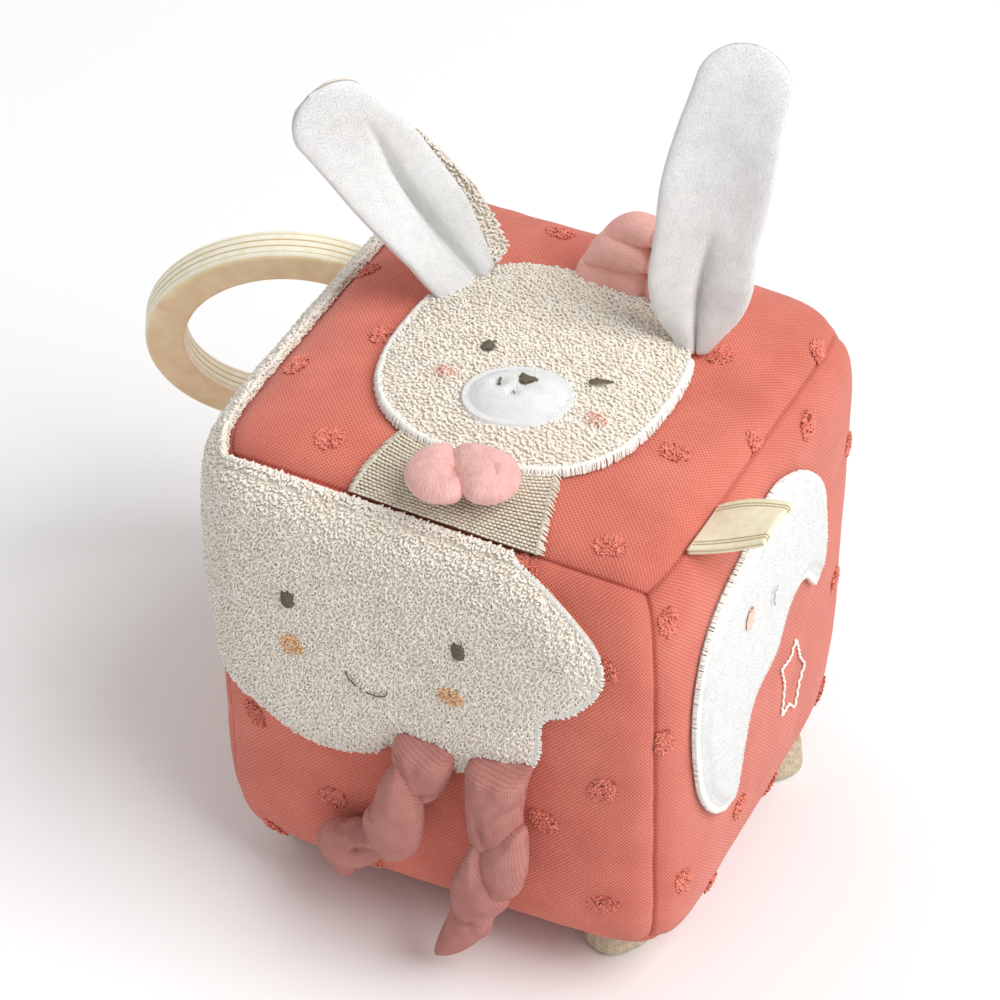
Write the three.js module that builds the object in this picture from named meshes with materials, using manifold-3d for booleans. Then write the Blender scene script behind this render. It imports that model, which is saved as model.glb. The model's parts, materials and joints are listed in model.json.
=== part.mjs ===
// Soft fabric block: a stuffed cube with a rabbit head, a cloud with knotted legs, a moon and a ring.
// Millimetres, +Z up. The cloud is on the front (-Y), the moon on the right (+X), the head on top.
import * as THREE from 'three';
import Module from 'manifold-3d';
import { mergeVertices } from 'three/addons/utils/BufferGeometryUtils.js';

const wasm = await Module();
wasm.setup();

// The stuffed cube
const cubeSide = 117;
const squareness = 8; // power of the rounded cube: higher is squarer
const faceCrown = 1.5;
const panelThickness = 1.6;
const seamGap = 0.35;
const seamDepth = 0.8;
const seamReach = 4;
const bridgeShare = 0.45; // how much of the seam's groove the applied patches follow
// How far each corner is pulled out of true by the stuffing, in shares of half the side
const cornerPullShares = [
  [[1, -1, 1], [-0.03, -0.03, -0.02]],
  [[1, -1, -1], [0.02, 0.04, 0.03]],
  [[-1, -1, 1], [0.04, 0.02, 0]],
  [[1, 1, 1], [-0.02, 0, 0.01]],
  [[-1, -1, -1], [0.03, 0, -0.02]],
  [[1, 1, -1], [-0.02, -0.07, -0.05]],
  [[-1, 1, 1], [-0.035, 0.035, 0.07]],
];
const panelLineShares = [-1, -0.965, -0.92, -0.84, -0.7, -0.4, 0, 0.4, 0.7, 0.84, 0.92, 0.965, 1];
const fillingSlack = 0.5;

// Clearance between pieces that touch, and the overrun of cutting bodies
const clearance = 0.35;
const overrun = 5;

// Rounds in which a piece is lowered onto what carries it, and how far away that is looked for
const settleRounds = 6;
const settleReach = 10;

// Points nearer than this are one point
const weldReach = 1e-4;

// Pads: rings of an oval pad, how squarely a pad rises from its rim, and columns for each outline point
const ovalShares = [0.4, 0.72, 0.92, 1];
const padSquareness = 3;
const outlineColumns = 2;

// Rattle in the middle of the filling
const rattleRadius = 15;
const rattleHeight = 22;
const rattleWall = 1.5;
const rattleEdge = 3;
const rattleSegments = 24;
const pocketSegments = 16;
const discEdgeSteps = 3;
const beadRadius = 3.5;
const beadCircle = 7;
const beadCount = 3;
const beadSegments = 12;
const beadRings = 8;

// Rabbit head on the top panel: a squarish oval pad with a muzzle on it
const headHalfWidth = 33;
const headHalfDepth = 34.5;
const headSquareness = 2.6;
const headRight = 3;
const headBack = -5;
const headEdge = 1.6;
const headPad = 4.2;
const headAround = 32;
const muzzleHalfWidth = 11.6;
const muzzleHalfDepth = 8.4;
const muzzleRight = 5.6;
const muzzleBack = -21.5;
const muzzleTurn = 25;
const muzzleEdge = 1;
const muzzlePad = 2.6;
const muzzleAround = 24;

// Ears: where each one is sewn on the top, which way it reaches and bows, and how it swells and tapers
const earWidth = 26;
const earThickness = 9;
const earRim = 1.1;
const earCup = 4.5;
const earCupStart = 0.24; // share of its length by which an ear is fully cupped
const earCrease = 0.55; // depth of the fold along the front, as a share of the swelling
const earCreaseWidthShare = 0.3;
const earSeam = 0.4;
const earStationShares = [0, 0.05, 0.13, 0.24, 0.38, 0.54, 0.7, 0.82, 0.91, 0.97, 1];
const earWidthShares = [0.5, 0.64, 0.8, 0.93, 1, 0.99, 0.92, 0.82, 0.64, 0.4, 0];
const earSwellShares = [0.12, 0.4, 0.72, 0.94, 1, 0.98, 0.9, 0.8, 0.64, 0.42, 0.2];
const earAcrossSteps = 8;
const leftEar = {
  right: -22.6, back: 16.5,
  reach: [-28.6, -18, 49.5], bow: [2, 6, 2], side: [0.5, 0.87, 0],
};
const rightEar = {
  right: 31.7, back: 16.2,
  reach: [3.8, 10.2, 67.4], bow: [-8, 1, 0], side: [0.93, 0.36, 0],
};

// Bows: two puffed lobes drawn in at the middle
const bowAround = 12;
const lobeSizeShares = [0.12, 0.6, 0.88, 1, 0.97, 0.84, 0.6, 0.42];
const lobePlaceShares = [1, 0.96, 0.87, 0.7, 0.5, 0.3, 0.12, 0];
const earBow = {
  right: 10.5, back: 34, turn: 22, tilt: 0,
  lobeLength: 15.5, lobeDepth: 12.5, lobeHeight: 18,
};
const chestBow = {
  right: 5.4, back: -46.6, turn: 18, tilt: 4,
  lobeLength: 12, lobeDepth: 12, lobeHeight: 9.4,
};

// Collar: a linen patch from the chin down to the front seam
const collarTopLeft = -14;
const collarTopRight = 22;
const collarBottomLeft = -20;
const collarBottomRight = 29;
const collarInset = 2.4;
const collarThickness = 0.9;
const collarAcrossSteps = 8;
const collarDownShares = [0, 0.12, 0.26, 0.45, 0.7, 1];

// Cloud on the front, carried round the left edge. Its outline runs from its left end along the
// scallops to its right end, in shares of its length right of the front left edge and of its height
const cloudLength = 102;
const cloudHeight = 68;
const cloudInset = 2.5;
const cloudEdge = 1.3;
const cloudPad = 2.8;
const cloudPadReach = 12;
const cloudDownShares = [0, 0.05, 0.13, 0.3, 0.62, 0.88, 1];
const cloudScallopShares = [
  [-1.1, 0.02], [-1.09, 0.14], [-1.04, 0.3], [-0.96, 0.43], [-0.86, 0.5], [-0.8, 0.52], [-0.73, 0.66],
  [-0.61, 0.76], [-0.49, 0.75], [-0.42, 0.66], [-0.34, 0.76], [-0.23, 0.81], [-0.14, 0.77], [-0.075, 0.67],
  [-0.035, 0.73], [0.005, 0.8], [0.065, 0.88], [0.17, 0.93], [0.27, 0.99], [0.37, 1], [0.46, 0.965],
  [0.527, 0.885], [0.6, 0.905], [0.69, 0.915], [0.785, 0.866], [0.853, 0.75], [0.866, 0.585], [0.94, 0.507],
  [0.998, 0.38], [0.994, 0.265], [0.943, 0.165], [0.875, 0.08], [0.802, 0.015],
];

// Knotted legs: each hangs from the cloud's edge in front of the panel. A leg's middle line goes through
// places to the right of the panel's middle and above the cloud's lowest level
const legWidth = 13;
const legThickness = 7.4;
const legAround = 12;
const legStationShares = [0, 0.05, 0.16, 0.3, 0.38, 0.44, 0.52, 0.6, 0.66, 0.74, 0.86, 0.95, 1];
const legWidthShares = [0.84, 0.92, 0.96, 0.84, 0.98, 1.22, 1.28, 1.14, 0.84, 0.98, 1.16, 1.08, 0.6];
const legSwellShares = [0.8, 0.92, 1, 0.95, 1.35, 1.8, 1.95, 1.7, 1.1, 1.05, 0.98, 0.8, 0.4];
const leftLeg = [
  [4.2, 5], [5, -2], [2, -8.5], [-4.4, -14.8], [-11, -21.8], [-17, -28], [-20.5, -32.5],
];
const rightLeg = [
  [21.8, 6.2], [20.8, 1], [20.4, -5], [20.2, -13], [19.4, -21.5], [16.6, -30], [13.6, -36.5], [11.5, -41.5],
];

// Crescent moon on the right panel, in shares of half its height from its middle
const moonHalfHeight = 33;
const moonBack = -6.5;
const moonUp = 9;
const moonEdge = 1.1;
const moonPad = 3;
const moonHornTaper = 4; // the pad reaches its height this many times sooner than the whole length
const moonAcrossShares = [0, 0.1, 0.3, 0.5, 0.7, 0.9, 1];
const moonOuterShares = [
  [-0.62, -1.02], [-0.8, -0.92], [-0.99, -0.69], [-1.07, -0.4], [-1.1, -0.06],
  [-0.976, 0.28], [-0.727, 0.54], [-0.415, 0.785], [-0.076, 0.95], [0.264, 1],
  [0.6, 0.9], [0.9, 0.62], [1.07, 0.26], [1.09, 0.02], [1.015, -0.076],
];
const moonInnerShares = [
  [-0.62, -1.02], [-0.48, -0.97], [-0.4, -0.82], [-0.3, -0.65], [-0.18, -0.5],
  [-0.06, -0.4], [0.067, -0.31], [0.19, -0.18], [0.31, -0.07], [0.44, 0.04],
  [0.56, 0.1], [0.67, 0.02], [0.78, -0.04], [0.9, -0.08], [1.015, -0.076],
];

// Tag: a folded ribbon sewn into the seam of the top and right panels
const tagWidth = 16.5;
const tagLength = 17;
const tagLayer = 0.55;
const tagFold = 0.5;
const tagBack = -33;
const tagRise = 24;
const tagBend = 1.4;
const tagSteps = 5;
const tagFoldSteps = 4;

// Plywood ring: its size, the place of its middle and the way it faces
const ringOuterRadius = 35;
const ringWidth = 10;
const ringThickness = 8.2;
const ringRounding = 1.4;
const ringSegments = 48;
const ringRoundSteps = 1;
const ringMiddle = [-92, 47, 9.6];
const ringTurn = 27.5;
const ringLean = -18.8;

// Strap: a tab sewn into the back left seam, and a loop that goes round the ring
const strapWidth = 12;
const strapThickness = 1.3;
const strapSlack = 1.3;
const strapStart = 0.5;
const strapFold = 0.4;
const strapTab = 2.2;
const strapCorner = 1.6;
const strapCornerSteps = 3;
const tabSteps = 2;

// Feet: small stuffed linen stubs under the corners, flat where they stand
const footRadius = 7.6;
const footHeight = 6.2;
const footSegments = 18;
const footOvershoot = 30; // how far a foot's rough body runs up before the cube is cut out of it
const footProfileShares = [[0.6, 0], [0.86, 0.12], [0.98, 0.38], [1, 0.66], [0.96, 1]];
const footPlaces = {
  front_left: [-42, -34.5],
  front_right: [38, -36.5],
  back_left: [-41, 37],
  back_right: [48, 33],
};

// Colours
const coral = { color: 0xd0655a, roughness: 0.95 };
const terry = { color: 0xe3dacb, roughness: 1 };
const plush = { color: 0xf1f0ee, roughness: 0.95 };
const linen = { color: 0xbfb09a, roughness: 0.95 };
const gauze = { color: 0xcd8a84, roughness: 0.95 };
const ribbon = { color: 0xf3e6b8, roughness: 0.7 };
const tape = { color: 0xe8dfcd, roughness: 0.85 };
const plywood = { color: 0xe4c79a, roughness: 0.55 };
const fibre = { color: 0xf7f7f5, roughness: 1 };
const plastic = { color: 0xe9e6df, roughness: 0.4 };

const half = cubeSide / 2;
const faces = {
  top: { s: [1, 0, 0], t: [0, 1, 0], n: [0, 0, 1] },
  front: { s: [1, 0, 0], t: [0, 0, 1], n: [0, -1, 0] },
  right: { s: [0, 1, 0], t: [0, 0, 1], n: [1, 0, 0] },
  left: { s: [0, -1, 0], t: [0, 0, 1], n: [-1, 0, 0] },
  back: { s: [-1, 0, 0], t: [0, 0, 1], n: [0, 1, 0] },
  bottom: { s: [1, 0, 0], t: [0, -1, 0], n: [0, 0, -1] },
};
for (const face of Object.values(faces)) {
  for (const key of Object.keys(face)) face[key] = new THREE.Vector3(...face[key]);
}

// Outward direction of the rounded cube where a face's shares s and t point
function cubeNormal(face, s, t) {
  const q = face.n.clone().addScaledVector(face.s, s).addScaledVector(face.t, t);
  const slope = (v) => Math.sign(v) * Math.abs(v) ** (squareness - 1);
  return new THREE.Vector3(slope(q.x), slope(q.y), slope(q.z)).normalize();
}

// How far the stitches draw the cloth in at this share of the way from the middle to a seam
function seamPull(share) {
  const fromSeam = ((1 - Math.abs(share)) * half) / seamReach;
  return seamDepth * Math.exp(-fromSeam * fromSeam);
}

// A point of the cube's skin: place (a, b) on a face in millimetres from its middle, raised by lift
function skin(faceName, a, b, lift = 0, grooveShare = 1) {
  const face = faces[faceName];
  const s = a / half;
  const t = b / half;
  const q = face.n.clone().addScaledVector(face.s, s).addScaledVector(face.t, t);
  const size = [q.x, q.y, q.z].reduce((sum, v) => sum + Math.abs(v) ** squareness, 0) ** (1 / squareness);
  const point = q.multiplyScalar(half / size);
  const place = point.clone().divideScalar(half);
  point.addScaledVector(face.n, faceCrown * (1 - s * s) * (1 - t * t));
  for (const [corner, pull] of cornerPullShares) {
    const weight = [0, 1, 2].reduce((w, i) => (w * (1 + corner[i] * place.getComponent(i))) / 2, half);
    point.addScaledVector(new THREE.Vector3(...pull), weight);
  }
  return point.addScaledVector(cubeNormal(face, s, t), lift - grooveShare * (seamPull(s) + seamPull(t)));
}

// A closed geometry from corner points and triangles: like points are merged, faces look outwards
function closedGeometry(points, triangles) {
  const rough = new THREE.BufferGeometry();
  rough.setAttribute('position', new THREE.Float32BufferAttribute(points.flatMap((p) => [p.x, p.y, p.z]), 3));
  rough.setIndex(triangles.flat());
  const merged = mergeVertices(rough, weldReach);
  const index = [];
  const old = merged.index.array;
  for (let i = 0; i < old.length; i += 3) {
    const [a, b, c] = [old[i], old[i + 1], old[i + 2]];
    if (a !== b && b !== c && c !== a) index.push(a, b, c);
  }
  const at = (i) => new THREE.Vector3().fromBufferAttribute(merged.attributes.position, i);
  let volume = 0;
  for (let i = 0; i < index.length; i += 3) {
    volume += at(index[i]).dot(at(index[i + 1]).cross(at(index[i + 2])));
  }
  if (volume < 0) index.reverse();
  merged.setIndex(index);
  merged.computeVertexNormals();
  return merged;
}

// A solid sheet between two surfaces over one flat net: net.points, net.triangles and net.rim (in order)
function sheet(net, outer, inner) {
  const count = net.points.length;
  const points = [...net.points.map(outer), ...net.points.map(inner)];
  const triangles = [];
  for (const [a, b, c] of net.triangles) triangles.push([a, b, c], [count + c, count + b, count + a]);
  net.rim.forEach((from, i) => {
    const to = net.rim[(i + 1) % net.rim.length];
    triangles.push([count + from, count + to, to], [count + from, to, from]);
  });
  return closedGeometry(points, triangles);
}

// A net of columns and rows; each point is what place(u, v) gives for shares u and v
function gridNet(us, vs, place) {
  const points = us.flatMap((u) => vs.map((v) => place(u, v)));
  const rows = vs.length;
  const triangles = [];
  for (let i = 0; i < us.length - 1; i += 1) {
    for (let j = 0; j < rows - 1; j += 1) {
      const [a, b, c, d] = [i * rows + j, (i + 1) * rows + j, (i + 1) * rows + j + 1, i * rows + j + 1];
      triangles.push([a, b, c], [a, c, d]);
    }
  }
  const last = us.length - 1;
  const rim = [];
  for (let i = 0; i < last; i += 1) rim.push(i * rows);
  for (let j = 0; j < rows - 1; j += 1) rim.push(last * rows + j);
  for (let i = last; i > 0; i -= 1) rim.push(i * rows + rows - 1);
  for (let j = rows - 1; j > 0; j -= 1) rim.push(j);
  return { points, triangles, rim };
}

// A net of rings round a middle; place(angle, share) gives each point, share 1 on the rim
function ringNet(around, shares, place) {
  const points = [place(0, 0)];
  const triangles = [];
  shares.forEach((share, ring) => {
    for (let i = 0; i < around; i += 1) {
      points.push(place((2 * Math.PI * i) / around, share));
      const next = (i + 1) % around;
      const outer = 1 + ring * around;
      const inner = outer - around;
      if (ring === 0) triangles.push([0, 1 + i, 1 + next]);
      else triangles.push([inner + i, outer + i, outer + next], [inner + i, outer + next, inner + next]);
    }
  });
  const outermost = 1 + (shares.length - 1) * around;
  return { points, triangles, rim: Array.from({ length: around }, (_, i) => outermost + i) };
}

// Even steps between two values, both ends included
function steps(count, from = 0, to = 1) {
  return Array.from({ length: count + 1 }, (_, i) => from + ((to - from) * i) / count);
}

const curveThrough = (points) => new THREE.CatmullRomCurve3(points, false, 'centripetal');

// A stuffed body along a middle line: oval sections with their half width and half thickness
function stuffedTube(line, widths, thicknesses, side, around) {
  const points = [];
  const triangles = [];
  line.forEach((centre, i) => {
    const ahead = line[Math.min(i + 1, line.length - 1)].clone().sub(line[Math.max(i - 1, 0)]).normalize();
    const thick = new THREE.Vector3().crossVectors(ahead, side).normalize();
    const wide = new THREE.Vector3().crossVectors(thick, ahead).normalize();
    for (let j = 0; j < around; j += 1) {
      const angle = (2 * Math.PI * j) / around;
      points.push(centre.clone().addScaledVector(wide, widths[i] * Math.cos(angle))
        .addScaledVector(thick, thicknesses[i] * Math.sin(angle)));
    }
  });
  for (let i = 0; i < line.length - 1; i += 1) {
    for (let j = 0; j < around; j += 1) {
      const next = (j + 1) % around;
      triangles.push([i * around + j, i * around + next, (i + 1) * around + next]);
      triangles.push([i * around + j, (i + 1) * around + next, (i + 1) * around + j]);
    }
  }
  const ends = points.length;
  points.push(line[0].clone(), line[line.length - 1].clone());
  for (let j = 0; j < around; j += 1) {
    const next = (j + 1) % around;
    const last = (line.length - 1) * around;
    triangles.push([ends, next, j], [ends + 1, last + j, last + next]);
  }
  return closedGeometry(points, triangles);
}

// Joins and cuts go through solids made from the closed geometries
function solid(geometry) {
  const bare = geometry.clone();
  bare.deleteAttribute('normal');
  bare.deleteAttribute('uv');
  const merged = mergeVertices(bare, weldReach);
  return new wasm.Manifold(new wasm.Mesh({
    numProp: 3,
    vertProperties: new Float32Array(merged.attributes.position.array),
    triVerts: new Uint32Array(merged.index.array),
  }));
}

function geometryOf(body) {
  const mesh = body.getMesh();
  const geometry = new THREE.BufferGeometry();
  geometry.setAttribute('position', new THREE.BufferAttribute(mesh.vertProperties.slice(), 3));
  geometry.setIndex(new THREE.BufferAttribute(mesh.triVerts.slice(), 1));
  geometry.computeVertexNormals();
  return geometry;
}

const block = new THREE.Group();

function add(name, geometry, finish, parent = block) {
  const material = new THREE.MeshStandardMaterial({ metalness: 0, ...finish });
  const mesh = new THREE.Mesh(geometry, material);
  mesh.name = name;
  parent.add(mesh);
  return mesh;
}

// A group at the place where a piece bends or turns; axis is the line that it turns about
function addPivot(name, point, axis, parent = block) {
  const pivot = new THREE.Group();
  pivot.name = name;
  pivot.position.copy(parent.worldToLocal(point.clone()));
  pivot.userData.axis = axis.clone().normalize().toArray();
  parent.add(pivot);
  pivot.updateWorldMatrix(true, false);
  return pivot;
}

// Adds a geometry made in the block's own place to a pivot, so that it stays where it was made
function addOnPivot(name, geometry, finish, pivot) {
  const origin = pivot.getWorldPosition(new THREE.Vector3());
  return add(name, geometry.translate(-origin.x, -origin.y, -origin.z), finish, pivot);
}

// Panels: six crowned pieces of cloth whose edges meet at the seams
const seamShare = 1 - seamGap / half;
const panelLines = panelLineShares.map((share) => share * seamShare * half);
for (const name of Object.keys(faces)) {
  const net = gridNet(panelLines, panelLines, (a, b) => [a, b]);
  const geometry = sheet(net, ([a, b]) => skin(name, a, b), ([a, b]) => skin(name, a, b, -panelThickness));
  add(`panel_${name}`, geometry, coral);
}

// The whole rounded cube as one solid, its skin raised or sunk by lift
function cubeBody(lift, lineShares) {
  const lines = lineShares.map((share) => share * half);
  const points = [];
  const triangles = [];
  for (const name of Object.keys(faces)) {
    const net = gridNet(lines, lines, (a, b) => skin(name, a, b, lift));
    for (const triangle of net.triangles) triangles.push(triangle.map((i) => i + points.length));
    points.push(...net.points);
  }
  return solid(closedGeometry(points, triangles));
}

// A short round body on the vertical axis, its outer edges rounded
function roundedDisc(radius, height, edge, segments) {
  const profile = [new THREE.Vector2(0, -height / 2)];
  for (const turn of steps(2 * discEdgeSteps + 1, -Math.PI / 2, Math.PI / 2)) {
    const level = Math.sign(turn) * (height / 2 - edge);
    profile.push(new THREE.Vector2(radius - edge + edge * Math.cos(turn), level + edge * Math.sin(turn)));
  }
  profile.push(new THREE.Vector2(0, height / 2));
  return solid(new THREE.LatheGeometry(profile, segments).rotateX(Math.PI / 2));
}

// Filling: the rounded cube inside the panels, split at mid height round the rattle's pocket
const filling = cubeBody(-panelThickness - fillingSlack, panelLineShares).subtract(
  roundedDisc(rattleRadius + clearance, rattleHeight + 2 * clearance, rattleEdge, pocketSegments),
);
const slabSize = cubeSide + 2 * overrun;
const slab = new THREE.BoxGeometry(slabSize, slabSize, slabSize);
const lowerSlab = solid(slab.clone().translate(0, 0, -slabSize / 2 - clearance / 2));
const upperSlab = solid(slab.clone().translate(0, 0, slabSize / 2 + clearance / 2));
add('filling_lower', geometryOf(filling.intersect(lowerSlab)), fibre);
add('filling_upper', geometryOf(filling.intersect(upperSlab)), fibre);

// Rattle: a cup and a lid of thin plastic with three beads loose inside
const hollowRadius = rattleRadius - rattleWall;
const hollowHeight = rattleHeight - 2 * rattleWall;
const shell = roundedDisc(rattleRadius, rattleHeight, rattleEdge, rattleSegments).subtract(
  roundedDisc(hollowRadius, hollowHeight, rattleEdge - rattleWall / 2, rattleSegments),
);
add('rattle_cup', geometryOf(shell.intersect(lowerSlab)), plastic);
add('rattle_lid', geometryOf(shell.intersect(upperSlab)), plastic);
const beadFloor = -rattleHeight / 2 + rattleWall + beadRadius + clearance;
for (let i = 0; i < beadCount; i += 1) {
  const angle = (2 * Math.PI * i) / beadCount;
  const ball = new THREE.SphereGeometry(beadRadius, beadSegments, beadRings);
  const bead = add(`rattle_bead_${i + 1}`, ball, plastic);
  bead.position.set(beadCircle * Math.cos(angle), beadCircle * Math.sin(angle), beadFloor);
}

// A padded patch: full height in its middle, down to its edge height at the rim (share 1)
const padHeight = (edge, pad, share) => edge + (pad - edge) * (1 - share ** padSquareness);

function headPlace(angle, share) {
  const squared = (v) => Math.sign(v) * Math.abs(v) ** (2 / headSquareness);
  const x = headHalfWidth * share * squared(Math.cos(angle));
  const y = headHalfDepth * share * squared(Math.sin(angle));
  return [headRight + x, headBack + y];
}

function headShareAt(a, b) {
  const x = Math.abs((a - headRight) / headHalfWidth);
  const y = Math.abs((b - headBack) / headHalfDepth);
  return Math.min(1, (x ** headSquareness + y ** headSquareness) ** (1 / headSquareness));
}

const headTop = (a, b) => clearance + padHeight(headEdge, headPad, headShareAt(a, b));

function headGeometry() {
  const net = ringNet(headAround, ovalShares, headPlace);
  return sheet(net, ([a, b]) => skin('top', a, b, headTop(a, b)), ([a, b]) => skin('top', a, b, clearance));
}

function muzzleGeometry() {
  const turn = THREE.MathUtils.degToRad(muzzleTurn);
  const net = ringNet(muzzleAround, ovalShares, (angle, share) => {
    const x = muzzleHalfWidth * share * Math.cos(angle);
    const y = muzzleHalfDepth * share * Math.sin(angle);
    const right = muzzleRight + x * Math.cos(turn) - y * Math.sin(turn);
    const back = muzzleBack + x * Math.sin(turn) + y * Math.cos(turn);
    return [right, back, share];
  });
  const seat = (a, b) => headTop(a, b) + clearance;
  return sheet(
    net,
    ([a, b, share]) => skin('top', a, b, seat(a, b) + padHeight(muzzleEdge, muzzlePad, share)),
    ([a, b]) => skin('top', a, b, seat(a, b)),
  );
}

const head = add('head_applique', headGeometry(), terry);
add('muzzle', muzzleGeometry(), plush);

// How far a body can sink straight down until it is the clearance away from what carries it
function dropOnto(body, carrier) {
  let drop = 0;
  for (let i = 0; i < settleRounds; i += 1) {
    drop += body.translate([0, 0, -drop]).minGap(carrier, settleReach) - clearance;
  }
  return drop;
}

// What the ears and the bow beside them are sewn onto
const topCarrier = solid(head.geometry).add(solid(block.getObjectByName('panel_top').geometry));

// An ear is two padded halves on one curved middle surface, with a fold down its front
function addEar(name, ear) {
  const foot = skin('top', ear.right, ear.back, headPad + earThickness);
  const reach = new THREE.Vector3(...ear.reach);
  const middle = foot.clone().addScaledVector(reach, 1 / 2).add(new THREE.Vector3(...ear.bow));
  const line = new THREE.QuadraticBezierCurve3(foot, middle, foot.clone().add(reach));
  const sideWish = new THREE.Vector3(...ear.side).normalize();
  // layer 1 is the front surface, -1 the back surface and 0 the middle
  const place = (u, across, layer) => {
    const ahead = line.getTangent(u);
    const front = new THREE.Vector3().crossVectors(sideWish, ahead).normalize();
    const side = new THREE.Vector3().crossVectors(ahead, front).normalize();
    const station = earStationShares.indexOf(u);
    const widthShare = earWidthShares[station];
    const swell = (earThickness / 2) * earSwellShares[station] * Math.sqrt(1 - across * across);
    const cup = earCup * across * across * widthShare * Math.min(1, u / earCupStart);
    const crease = layer > 0 ? 1 - earCrease * Math.exp(-((across / earCreaseWidthShare) ** 2)) : 1;
    return line.getPoint(u).addScaledVector(side, (earWidth / 2) * widthShare * across)
      .addScaledVector(front, cup + layer * (earRim / 2 + swell * crease));
  };
  const net = gridNet(earStationShares, steps(earAcrossSteps, -1, 1), (u, across) => [u, across]);
  const parting = (layer) => ([u, across]) => {
    const middlePoint = place(u, across, 0);
    const outer = place(u, across, layer);
    return middlePoint.lerp(outer, earSeam / 2 / outer.distanceTo(middlePoint));
  };
  const front = sheet(net, ([u, across]) => place(u, across, 1), parting(1));
  const back = sheet(net, ([u, across]) => place(u, across, -1), parting(-1));
  const drop = dropOnto(solid(front).add(solid(back)), topCarrier);
  const pivot = addPivot(`${name}_bend`, foot.sub(new THREE.Vector3(0, 0, drop)), sideWish);
  addOnPivot(`${name}_front`, front.translate(0, 0, -drop), plush, pivot);
  addOnPivot(`${name}_back`, back.translate(0, 0, -drop), terry, pivot);
}

addEar('ear_left', leftEar);
addEar('ear_right', rightEar);

// A bow of two puffed lobes, laid on what is under it on the top face
function addBow(name, bow, carrier) {
  const normal = cubeNormal(faces.top, bow.right / half, bow.back / half);
  const turn = THREE.MathUtils.degToRad(bow.turn);
  const tilt = THREE.MathUtils.degToRad(bow.tilt);
  const across = new THREE.Vector3(Math.cos(turn), Math.sin(turn), 0).projectOnPlane(normal).normalize();
  const along = across.multiplyScalar(Math.cos(tilt)).addScaledVector(normal, Math.sin(tilt));
  const deep = new THREE.Vector3().crossVectors(normal, along).normalize();
  const middle = skin('top', bow.right, bow.back, headPad + bow.lobeHeight / 2 + clearance);
  const leftLobe = lobePlaceShares.map((share, i) => [-share, lobeSizeShares[i]]);
  const rightLobe = leftLobe.slice(0, -1).map(([share, size]) => [-share, size]);
  const stations = [...leftLobe, ...rightLobe.reverse()];
  const line = stations.map(([share]) => middle.clone().addScaledVector(along, share * bow.lobeLength));
  const widths = stations.map(([, size]) => (size * bow.lobeDepth) / 2);
  const heights = stations.map(([, size]) => (size * bow.lobeHeight) / 2);
  const geometry = stuffedTube(line, widths, heights, deep, bowAround);
  geometry.translate(0, 0, -dropOnto(solid(geometry), carrier));
  add(name, geometry, gauze);
}

// Collar patch on the top panel: its upper edge follows the head's outline, its lower edge the seam
function collarPlace(u, v) {
  const top = THREE.MathUtils.lerp(collarTopLeft, collarTopRight, u);
  const bottom = THREE.MathUtils.lerp(collarBottomLeft, collarBottomRight, u);
  const fromMiddle = Math.abs((top - headRight) / (headHalfWidth + clearance));
  const down = (1 - fromMiddle ** headSquareness) ** (1 / headSquareness);
  const chin = headBack - (headHalfDepth + clearance) * down;
  return [THREE.MathUtils.lerp(top, bottom, v), THREE.MathUtils.lerp(chin, -half + collarInset, v)];
}

const collarTop = clearance + collarThickness;
const collarNet = gridNet(collarDownShares, steps(collarAcrossSteps), (v, u) => collarPlace(u, v));
const onCollar = (lift) => ([a, b]) => skin('top', a, b, lift, bridgeShare);
const collar = add('collar', sheet(collarNet, onCollar(collarTop), onCollar(clearance)), linen);

addBow('chest_bow', chestBow, solid(head.geometry).add(solid(collar.geometry)));
addBow('ear_bow', earBow, topCarrier);

// Places on the front carry on round the left edge: w is the way along, 0 in the middle of the front
function wallSkin(w, b, lift) {
  const [faceName, a] = w >= -half ? ['front', w] : ['left', w + 2 * half];
  return skin(faceName, a, b, lift, bridgeShare);
}

const cloudTop = half - cloudInset;

function cloudGeometry() {
  const outline = curveThrough(cloudScallopShares.map(([along, down]) => (
    new THREE.Vector3(along * cloudLength - half, cloudTop - down * cloudHeight, 0)
  )));
  const first = outline.getPoint(0).x;
  const last = outline.getPoint(1).x;
  const columns = steps(outlineColumns * (cloudScallopShares.length - 1));
  const net = gridNet(columns, cloudDownShares, (u, v) => {
    const low = outline.getPoint(u);
    const w = THREE.MathUtils.lerp(THREE.MathUtils.clamp(low.x, first, last), low.x, v);
    const pad = THREE.MathUtils.lerp(cloudEdge, cloudPad, Math.min(1, (cloudTop - low.y) / cloudPadReach));
    const b = THREE.MathUtils.lerp(cloudTop, low.y, v);
    return [w, b, clearance + padHeight(cloudEdge, pad, Math.abs(2 * v - 1))];
  });
  return sheet(net, ([w, b, lift]) => wallSkin(w, b, lift), ([w, b]) => wallSkin(w, b, clearance));
}

add('cloud', cloudGeometry(), terry);

// A leg is a stuffed gauze tube with a knot in it; its back lies on the front panel
function addLeg(name, places) {
  const cloudLow = cloudTop - cloudHeight;
  const route = curveThrough(places.map(([a, up]) => new THREE.Vector3(a, cloudLow + up, 0)));
  const thicknesses = legSwellShares.map((share) => (share * legThickness) / 2);
  const line = legStationShares.map((u, i) => {
    const at = route.getPointAt(u);
    return skin('front', at.x, at.y, clearance + thicknesses[i]);
  });
  const widths = legWidthShares.map((share) => (share * legWidth) / 2);
  const pivot = addPivot(`${name}_swing`, line[0], new THREE.Vector3(-1, 0, 0));
  addOnPivot(name, stuffedTube(line, widths, thicknesses, faces.front.s, legAround), gauze, pivot);
}

addLeg('leg_left', leftLeg);
addLeg('leg_right', rightLeg);

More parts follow.
